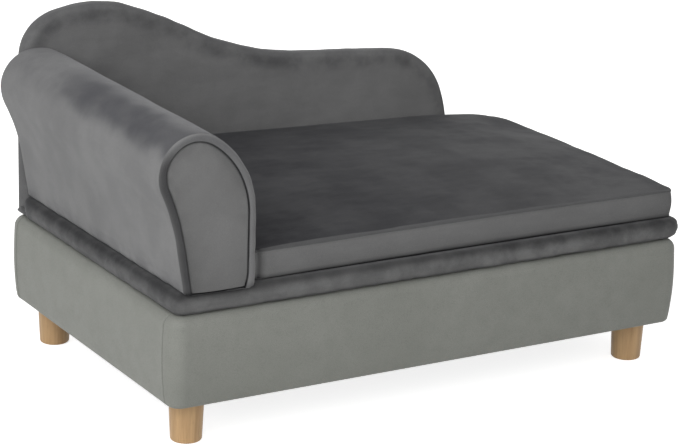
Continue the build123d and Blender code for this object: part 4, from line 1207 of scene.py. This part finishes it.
def makeBackSkin(s):
    top, leftFoot, rightFoot = backOutline(s)
    countU, countV = s["countU"], s["countV"]
    leftSide = np.linspace(leftFoot, top[0], countV)
    rightSide = np.linspace(rightFoot, top[-1], countV)
    topSide = alongCurve(top, np.linspace(0, 1, countU))
    bottomSide = np.linspace(leftFoot, rightFoot, countU)
    loop = np.concatenate([bottomSide[:-1], rightSide[:-1], topSide[::-1][:-1], leftSide[::-1][:-1]])
    inward = closedInward(loop)
    front, rear, r = backLow[1], backHigh[1], s["rounding"]
    floorKeep = smoothStep((loop[:, 1] - s["footZ"]) / 0.008) * 0.8 + 0.2
    quarter = np.radians(np.linspace(0, 90, 9))
    profile = [(r * (1 - math.sin(a)), rear - r * (1 - math.cos(a))) for a in quarter]
    profile += [(-0.0006, (front + rear) / 2)]
    profile += [(r * (1 - math.cos(a)), front + r * (1 - math.sin(a))) for a in quarter]
    rings = [standing(loop + inward * (inset * floorKeep)[:, None], y) for inset, y in profile]
    skin = shellBetween("back_skin", np.array(rings), countU, countV)
    ring = takeMark(skin, "ring")
    points = readPoints(skin)
    edge = np.concatenate([topSide, rightSide, leftSide])
    flat = points[:, [0, 2]]
    gap = np.full(len(flat), 1.0)
    for start in range(0, len(edge), 30):
        part = edge[start : start + 30]
        gap = np.minimum(gap, np.linalg.norm(flat[:, None] - part[None], axis=2).min(axis=1))
    middleY = (front + rear) / 2
    outward = np.sign(points[:, 1] - middleY)
    onFace = smoothStep((np.abs(points[:, 1] - middleY) - 0.006) / 0.005)
    crown = s["crown"] * (1 - (1 - np.clip(gap / s["crownSlope"], 0, 1)) ** 2)
    # the front stays flat as far up as the cushion's zip passes it when the cushion is lifted out
    seatTop = s["flatTo"]
    away = np.where(outward < 0, smoothStep((points[:, 2] - seatTop) / 0.03),
                    smoothStep((points[:, 2] - backLow[2]) / 0.02))
    points[:, 1] += outward * onFace * away * crown
    movePoints(skin, points)
    # the cover is held along its foot and where its edge turns
    onEdge = (ring >= 0) & (ring < 999)
    held = onEdge | (points[:, 2] < seatTop) & (outward < 0) | (points[:, 2] < backLow[2])
    swell(skin, held, s["cap"], s["pressure"])
    points = readPoints(skin)
    points[:, 1] += outward * onFace * away * rippled(points * (1, 0, 1), s["faceWaves"])
    topPush = smoothStep((0.004 - gap) / 0.004) * smoothStep((points[:, 2] - seatTop) / 0.03)
    points += (topPush * rippled(points, s["topWaves"]))[:, None] * readPoints(skin, "normal")
    movePoints(skin, points)
    # painted shadow in a strip under the top edge on the front, painted shade along the edge itself and at
    # the foot; the rest lighter towards the right
    underEdge = bump(gap - 0.014, 0.010) * (points[:, 1] < middleY)
    toRight = (points[:, 0] - backLow[0]) / s["length"]
    paint(skin, "tone", 0.79 + 0.20 * toRight - 0.32 * underEdge - 0.26 * bump(gap, 0.006))
    paint(skin, "nap", 0.10 + 0.26 * underEdge)
    paint(skin, "shade", 0.25 * bump(points[:, 2] - s["footZ"], 0.003))
    place(skin, "lid", "velvet_back", ("back_cover", "back_padding"), 0.85)


makeBackSkin(backForm)
print("back made")


# Seat cushion: boxed, with a band, a top seam, a crown and a drawn-in front

cushionForm = {
    "cornerRadius": 0.016,
    "cornerDrop": 0.0022,
    "rearCorner": 0.006,
    "drawIn": 0.004,
    "band": 0.036,
    "frontRise": 0.0004,
    "rearRise": 0.0172,
    "rearFall": 0.0090,
    "crown": 0.0100,
    "endCrown": 0.0010,
    "rightOut": 0.0040,
    "bottomRounding": 0.0035,
    "bandBulge": 0.0016,
    "pleatFromLeft": 0.013,
    "pleatDepth": 0.0032,
    "pleatLip": 0.0014,
    "coverWaves": [(0.0006, 0.10, 51), (0.00025, 0.032, 52)],
    "seamWaves": [(0.0003, 0.012, 53)],
    "countX": 100,
    "countY": 70,
    "arcCount": 6,
    "cap": 0.0028,
}


def cushionRise(s, u, v):
    # the top over its front seam: a straight rise to the rear seam, which falls to the right and at
    # its ends, plus a crown that falls off to nothing at the front and rear
    start = np.where(u > 0, 0.55, 0.8)
    ends = 1 - 0.80 * np.clip((np.abs(u) - start) / (1 - start), 0, 1) ** 2
    rear = (s["rearRise"] - s["rearFall"] * u) * ends
    crown = s["endCrown"] + (s["crown"] - s["endCrown"]) * (1 - np.abs(u) ** np.where(u > 0, 2.6, 4))
    back = (v + 1) / 2
    corner = s["cornerDrop"] * smoothStep((np.abs(u) - 0.94) / 0.06) * smoothStep((np.abs(v) - 0.92) / 0.08)
    return s["frontRise"] - corner + (rear - s["frontRise"]) * back + crown * (1 - np.abs(v) ** 2.2)


def makeCushion(s):
    left, right = seatLow[0], seatHigh[0] + s["rightOut"]
    halfX, middle = (right - left) / 2, (right + left) / 2
    rear, front = seatHigh[1], seatLow[1] + s["bandBulge"]
    halfY, midY = (rear - front) / 2, (rear + front) / 2
    floor = seatLow[2]
    seam = floor + s["band"]
    r = s["bottomRounding"]
    quarter = np.radians(np.linspace(0, 90, 6))
    profile = [(r * (1 - math.sin(a)), floor + r * (1 - math.cos(a))) for a in quarter]
    wall = np.linspace(0, 1, 9)
    profile += [(-s["bandBulge"] * math.sin(math.pi * w), floor + r + w * (seam - 0.001 - floor - r))
                for w in wall[1:-1]]
    profile += [(0.0002, seam - 0.0016), (-0.0007, seam - 0.0003), (0.0003, seam + 0.0010),
                (0.0020, seam + 0.0012), (0.005, seam + 0.0016)]
    seamRing = len(profile) - 4
    spanX = np.linspace(-1, 1, s["countX"])
    spanY = np.linspace(-1, 1, s["countY"])
    arcCount = s["arcCount"]
    rings = []
    for inset, z in profile:
        radius = max(s["cornerRadius"] - inset, 0.002)
        loop = roundedLoop(halfX - inset, halfY - inset, radius, spanX, spanY, arcCount)
        rings.append(lying(loop, z, middle, midY))
    cushion = shellBetween("seat_cushion", np.array(rings), s["countX"] + 2 * arcCount,
                           s["countY"] + 2 * arcCount)
    ring = takeMark(cushion, "ring")
    points = readPoints(cushion)
    u = np.clip((points[:, 0] - middle) / halfX, -1, 1)
    v = np.clip((points[:, 1] - midY) / halfY, -1, 1)
    share = np.clip((points[:, 2] - floor) / (seam - floor), 0, 1)
    points[:, 2] += share * cushionRise(s, u, v)
    points[:, 1] += s["drawIn"] * (1 - u**2) * smoothStep(-v * 1.2) * (share > 0)
    corner = smoothStep((u - 0.86) / 0.14) * smoothStep((v - 0.80) / 0.20) * share
    points[:, :2] -= (s["rearCorner"] * corner)[:, None]
    movePoints(cushion, points)

    # held by the seams, the zip's panel and what it lies on; the rest swells
    onTop = ring > seamRing + 3
    held = ~onTop & ((ring < 7) | (ring >= seamRing - 1) | (points[:, 1] > rear - 0.012))
    swell(cushion, held, s["cap"])
    points = readPoints(cushion)
    lifted = points[:, 2] > floor + 0.002
    away = smoothStep((rear - points[:, 1]) / 0.02)
    push = lifted * away * rippled(points, s["coverWaves"])
    edgeRun = points[:, 0] + points[:, 1]
    nearSeam = np.where(onTop, bump(np.minimum(1 - np.abs(u), 1 - np.abs(v)), 0.02), 0)
    push += nearSeam * rippled(np.column_stack([edgeRun, edgeRun * 0, edgeRun * 0]), s["seamWaves"])
    points += push[:, None] * readPoints(cushion, "normal")
    # a pleat is tucked beside the arm
    onFront = (points[:, 1] < front + 0.012) & (ring > 3) & ~onTop
    fromPleat = points[:, 0] - left - s["pleatFromLeft"]
    pleat = s["pleatDepth"] * bump(fromPleat, 0.0035) - s["pleatLip"] * bump(fromPleat - 0.008, 0.006)
    points[:, 1] += onFront * pleat
    points[:, 1] = np.minimum(points[:, 1], rear - 0.0001)
    movePoints(cushion, points)
    # painted light: the band far lighter than the top, and a little darker towards the right; on the top,
    # painted shade beside the arm easing off to the right, and darker towards the rear
    onBand = (ring < seamRing) & (ring > 2)
    topTone = 0.10 + 0.26 * smoothStep((u + 1) / 2) - 0.08 * smoothStep((v - 0.2) / 0.8)
    paint(cushion, "tone", np.where(onTop, topTone, np.where(onBand, 0.82 - 0.09 * smoothStep(u), 0.45)))
    paint(cushion, "nap", np.where(onTop, 0.11 + 0.12 * smoothStep(u), 0.015))
    # painted shadow along the foot where it lies on the lid, painted shade in the pleat and on the top beside
    # the arm
    shade = 0.85 * bump(points[:, 2] - floor, 0.0035)
    shade = shade + 0.5 * onFront * bump(fromPleat, 0.003) + 0.35 * onTop * bump(points[:, 0] - left, 0.02)
    paint(cushion, "shade", shade)
    place(cushion, "cushion", "velvet_cushion", ("cushion_cover", "cushion_foam"), 0.8)


makeCushion(cushionForm)
print("cushion made")


# Zip in the cushion's rear band: a woven tape with two rows of teeth down its middle

zipLow, zipHigh = cadBox("cushion_zip")

zipForm = {
    "pitch": 0.0025,
    "toothWidth": 0.0030,
    "toothProud": 0.0001,
    "toothShare": 0.22,
    "toothless": 0.005,
    "tapeShare": 0.45,
    "countX": 216,
    "countZ": 12,
}


def makeZip(s):
    x = np.linspace(zipLow[0], zipHigh[0], s["countX"])
    z = np.linspace(zipLow[2], zipHigh[2], s["countZ"])
    faceX, faceZ = np.meshgrid(x, z, indexing="ij")
    # the tape lies on the band, and its outer face rises and falls along its four woven ribs
    thick = zipHigh[1] - zipLow[1]
    rib = 0.08 * thick * np.cos((faceZ - z[0]) * tau / (z[-1] - z[0]) * 4)
    outer = np.stack([faceX, zipLow[1] + s["tapeShare"] * thick + rib, faceZ], 2)
    inner = np.stack([faceX, np.full_like(faceX, zipLow[1] + 0.00005), faceZ], 2)
    tape = sheetBetween("zip_tape_piece", outer, inner)
    place(tape, "cushion", "zip_tape", ("cushion_zip",))

    # teeth in turn from above and below, each a six-sided bar with a narrower root
    length = zipHigh[0] - zipLow[0] - 2 * s["toothless"]
    number = int(length / (s["pitch"] / 2))
    middleZ = (zipLow[2] + zipHigh[2]) / 2
    places = zipLow[0] + s["toothless"] + (np.arange(number) + 0.5) * s["pitch"] / 2
    way = np.where(np.arange(number) % 2 == 0, 1.0, -1.0)
    half = s["pitch"] * s["toothShare"]
    acrossZ = np.array([-0.25, 0.45, 1.0]) * s["toothWidth"]
    widths = np.array([1.0, 0.8, 0.55]) * half
    low, high = zipLow[1] + 0.3 * thick, zipHigh[1] + s["toothProud"]
    section = np.array([(-1, 0), (-0.7, 1), (0.7, 1), (1, 0)])
    tooth = np.stack([np.broadcast_to(section[:, 0] * widths[:, None], (3, 4)),
                      np.broadcast_to(low + section[:, 1] * (high - low), (3, 4)),
                      np.broadcast_to(acrossZ[:, None], (3, 4))], 2)
    teeth = np.broadcast_to(tooth, (number, 3, 4, 3)).copy()
    teeth[..., 0] += places[:, None, None]
    teeth[..., 2] = middleZ + teeth[..., 2] * way[:, None, None]
    one = np.arange(12).reshape(3, 4)
    sides = gridFaces(one, closeV=True)
    each = np.concatenate([sides, [one[0][::-1], one[2]]])
    allFaces = (each[None] + 12 * np.arange(number)[:, None, None]).reshape(-1, 4)
    coil = buildMesh("zip_teeth", teeth, allFaces)
    coil.data.shade_flat()
    place(coil, "cushion", "zip_metal")


makeZip(zipForm)
print("zip made")


# Bonded cloths: the box's lining, the cloth under the lid and the one under the base

clothForm = {
    "blockSize": 0.0241,
    "foldRadius": 0.003,
    "thickness": 0.0009,
    "slackWaves": [(0.00022, 0.06, 61)],
    "cell": 0.008,
    "edgePoints": 6,
    "foldPoints": 4,
}


def notchedLoop(halfX, halfY, notch, radius, countX, countY):
    # a rectangle without its corner blocks, from the left front block's inner corner round to itself

    def side(start, out, run, length, count):
        # out along the block, round a fold, along the wall, round a fold and back in along the next block
        start, out, run = np.array(start), np.array(out), np.array(run)
        share = np.linspace(0, 1, clothForm["edgePoints"])[:, None]
        turn = np.radians(np.linspace(0, 90, clothForm["foldPoints"]))[:, None]
        first = start + out * (notch - radius) * share
        pivot = first[-1] + run * radius
        bend = pivot - run * radius * np.cos(turn) + out * radius * np.sin(turn)
        wall = bend[-1] + run * (length - 2 * radius) * np.linspace(0, 1, count)[:, None]
        pivot2 = wall[-1] - out * radius
        bend2 = pivot2 + out * radius * np.cos(turn) + run * radius * np.sin(turn)
        last = bend2[-1] - out * (notch - radius) * share
        return np.concatenate([first[:-1], bend[:-1], wall[:-1], bend2[:-1], last])[:-1]

    x, y = halfX - notch, halfY - notch
    sides = [((-x, -y), (0, -1), (1, 0), 2 * x, countX), ((x, -y), (1, 0), (0, 1), 2 * y, countY),
             ((x, y), (0, 1), (-1, 0), 2 * x, countX), ((-x, y), (-1, 0), (0, -1), 2 * y, countY)]
    return np.concatenate([side(*given) for given in sides])


def makeLining(s):
    halfX = (liningHigh[0] - liningLow[0]) / 2 - 0.0001
    halfY = (liningHigh[1] - liningLow[1]) / 2 - 0.0001
    low, high = liningLow[2] + 0.0001, liningHigh[2]
    thick, fold = s["thickness"], s["foldRadius"]
    countX, countY = int(2 * halfX / s["cell"]), int(2 * halfY / s["cell"])
    quarter = np.radians(np.linspace(0, 90, 5))
    rise = np.linspace(0, 1, 12)
    outside = [(fold * (1 - math.sin(a)), low + fold * (1 - math.cos(a))) for a in quarter]
    outside += [(0, low + fold + h * (high - low - fold)) for h in rise[1:]]
    inside = [(thick, z) for _, z in outside[:4:-1]]
    bend = fold - thick
    inside += [(thick + bend * (1 - math.cos(a)), low + fold - bend * math.sin(a)) for a in quarter]
    rings = []
    for inset, z in outside + inside:
        loop = notchedLoop(halfX - inset, halfY - inset, s["blockSize"] + 0.0002, 0.002, countX, countY)
        rings.append(lying(loop, z, middleX))
    # each side gains two block edges and two folds, which share their end points
    extra = 2 * s["edgePoints"] + 2 * s["foldPoints"] - 4
    countU, countV = countX + extra, countY + extra
    piece = shellBetween("lining_piece", np.array(rings), countU, countV)
    ring = takeMark(piece, "ring")
    # the cloth is stapled along its top edge and stands a little off the panels between the staples
    points = readPoints(piece)
    run = points[:, 0] + points[:, 1]
    nearTop = bump(high - points[:, 2], 0.02)
    wave = rippled(points, s["slackWaves"]) * smoothStep((points[:, 2] - low - 0.004) / 0.02)
    staples = -0.00025 * nearTop * np.cos(run * tau / 0.05)
    move = np.clip(wave + staples, -0.0004, 0.0001) * (ring > len(outside))
    pushOut(piece, move)
    place(piece, "base", "lining_cloth", ("storage_lining",))


def makeFlatCloth(name, body, node, sag, seed):
    # a thin closed sheet: sag is how far its free face bellies, between staples along its edge
    low, high = cadBox(node)
    x = np.linspace(low[0], high[0], int((high[0] - low[0]) / clothForm["cell"]))
    y = np.linspace(low[1], high[1], int((high[1] - low[1]) / clothForm["cell"]))
    gridX, gridY = np.meshgrid(x, y, indexing="ij")
    u = (gridX - x[0]) / (x[-1] - x[0]) * 2 - 1
    v = (gridY - y[0]) / (y[-1] - y[0]) * 2 - 1
    flatPoints = np.stack([gridX, gridY, gridX * 0], 2).reshape(-1, 3)
    loose = (1 - u**4) * (1 - v**4)
    edge = bump(1 - np.maximum(np.abs(u), np.abs(v)), 0.03)
    pucker = 0.00012 * edge * np.cos((gridX + gridY) * tau / 0.045)
    uneven = 0.7 + 0.3 * ripples(flatPoints, 0.2, seed).reshape(u.shape)
    free = low[2] + 0.0001 - sag * loose * uneven + pucker
    lower = np.stack([gridX, gridY, free], 2)
    upper = np.stack([gridX, gridY, np.minimum(free + 0.0008, high[2] - 0.0001)], 2)
    piece = sheetBetween(name, lower, upper)
    place(piece, body, "lining_cloth", (node,))


makeLining(clothForm)
makeFlatCloth("base_cloth", "base", "dust_cover", 0.0006, 71)
makeFlatCloth("lid_cloth", "lid", "lid_underlining", 0.0008, 72)
print("cloths made")


# Floor

def makeFloor(plan):
    half = plan["floorSize"] / 2
    corners = np.array([(-half, -half, 0), (half, -half, 0), (half, half, 0), (-half, half, 0)])
    floor = buildMesh("floor", corners, np.array([[0, 1, 2, 3]]))
    material, tree, shader, spot = newMaterial("floor", Roughness=0.9)
    tone = noiseNode(tree, spot, 3.0, 2.0)
    color = mixColor(tree, tone, plan["floorColor"], tuple(0.98 * c for c in plan["floorColor"]))
    tree.links.new(color, shader.inputs["Base Color"])
    glow = (plan["floorGlow"],) * 3 + (1,)
    tree.links.new(mixColor(tree, seenRay(tree), (0, 0, 0, 1), glow), shader.inputs["Emission Color"])
    shader.inputs["Emission Strength"].default_value = 1.0
    floor.data.materials.append(material)


makeFloor(lightPlan)

print("scene made")
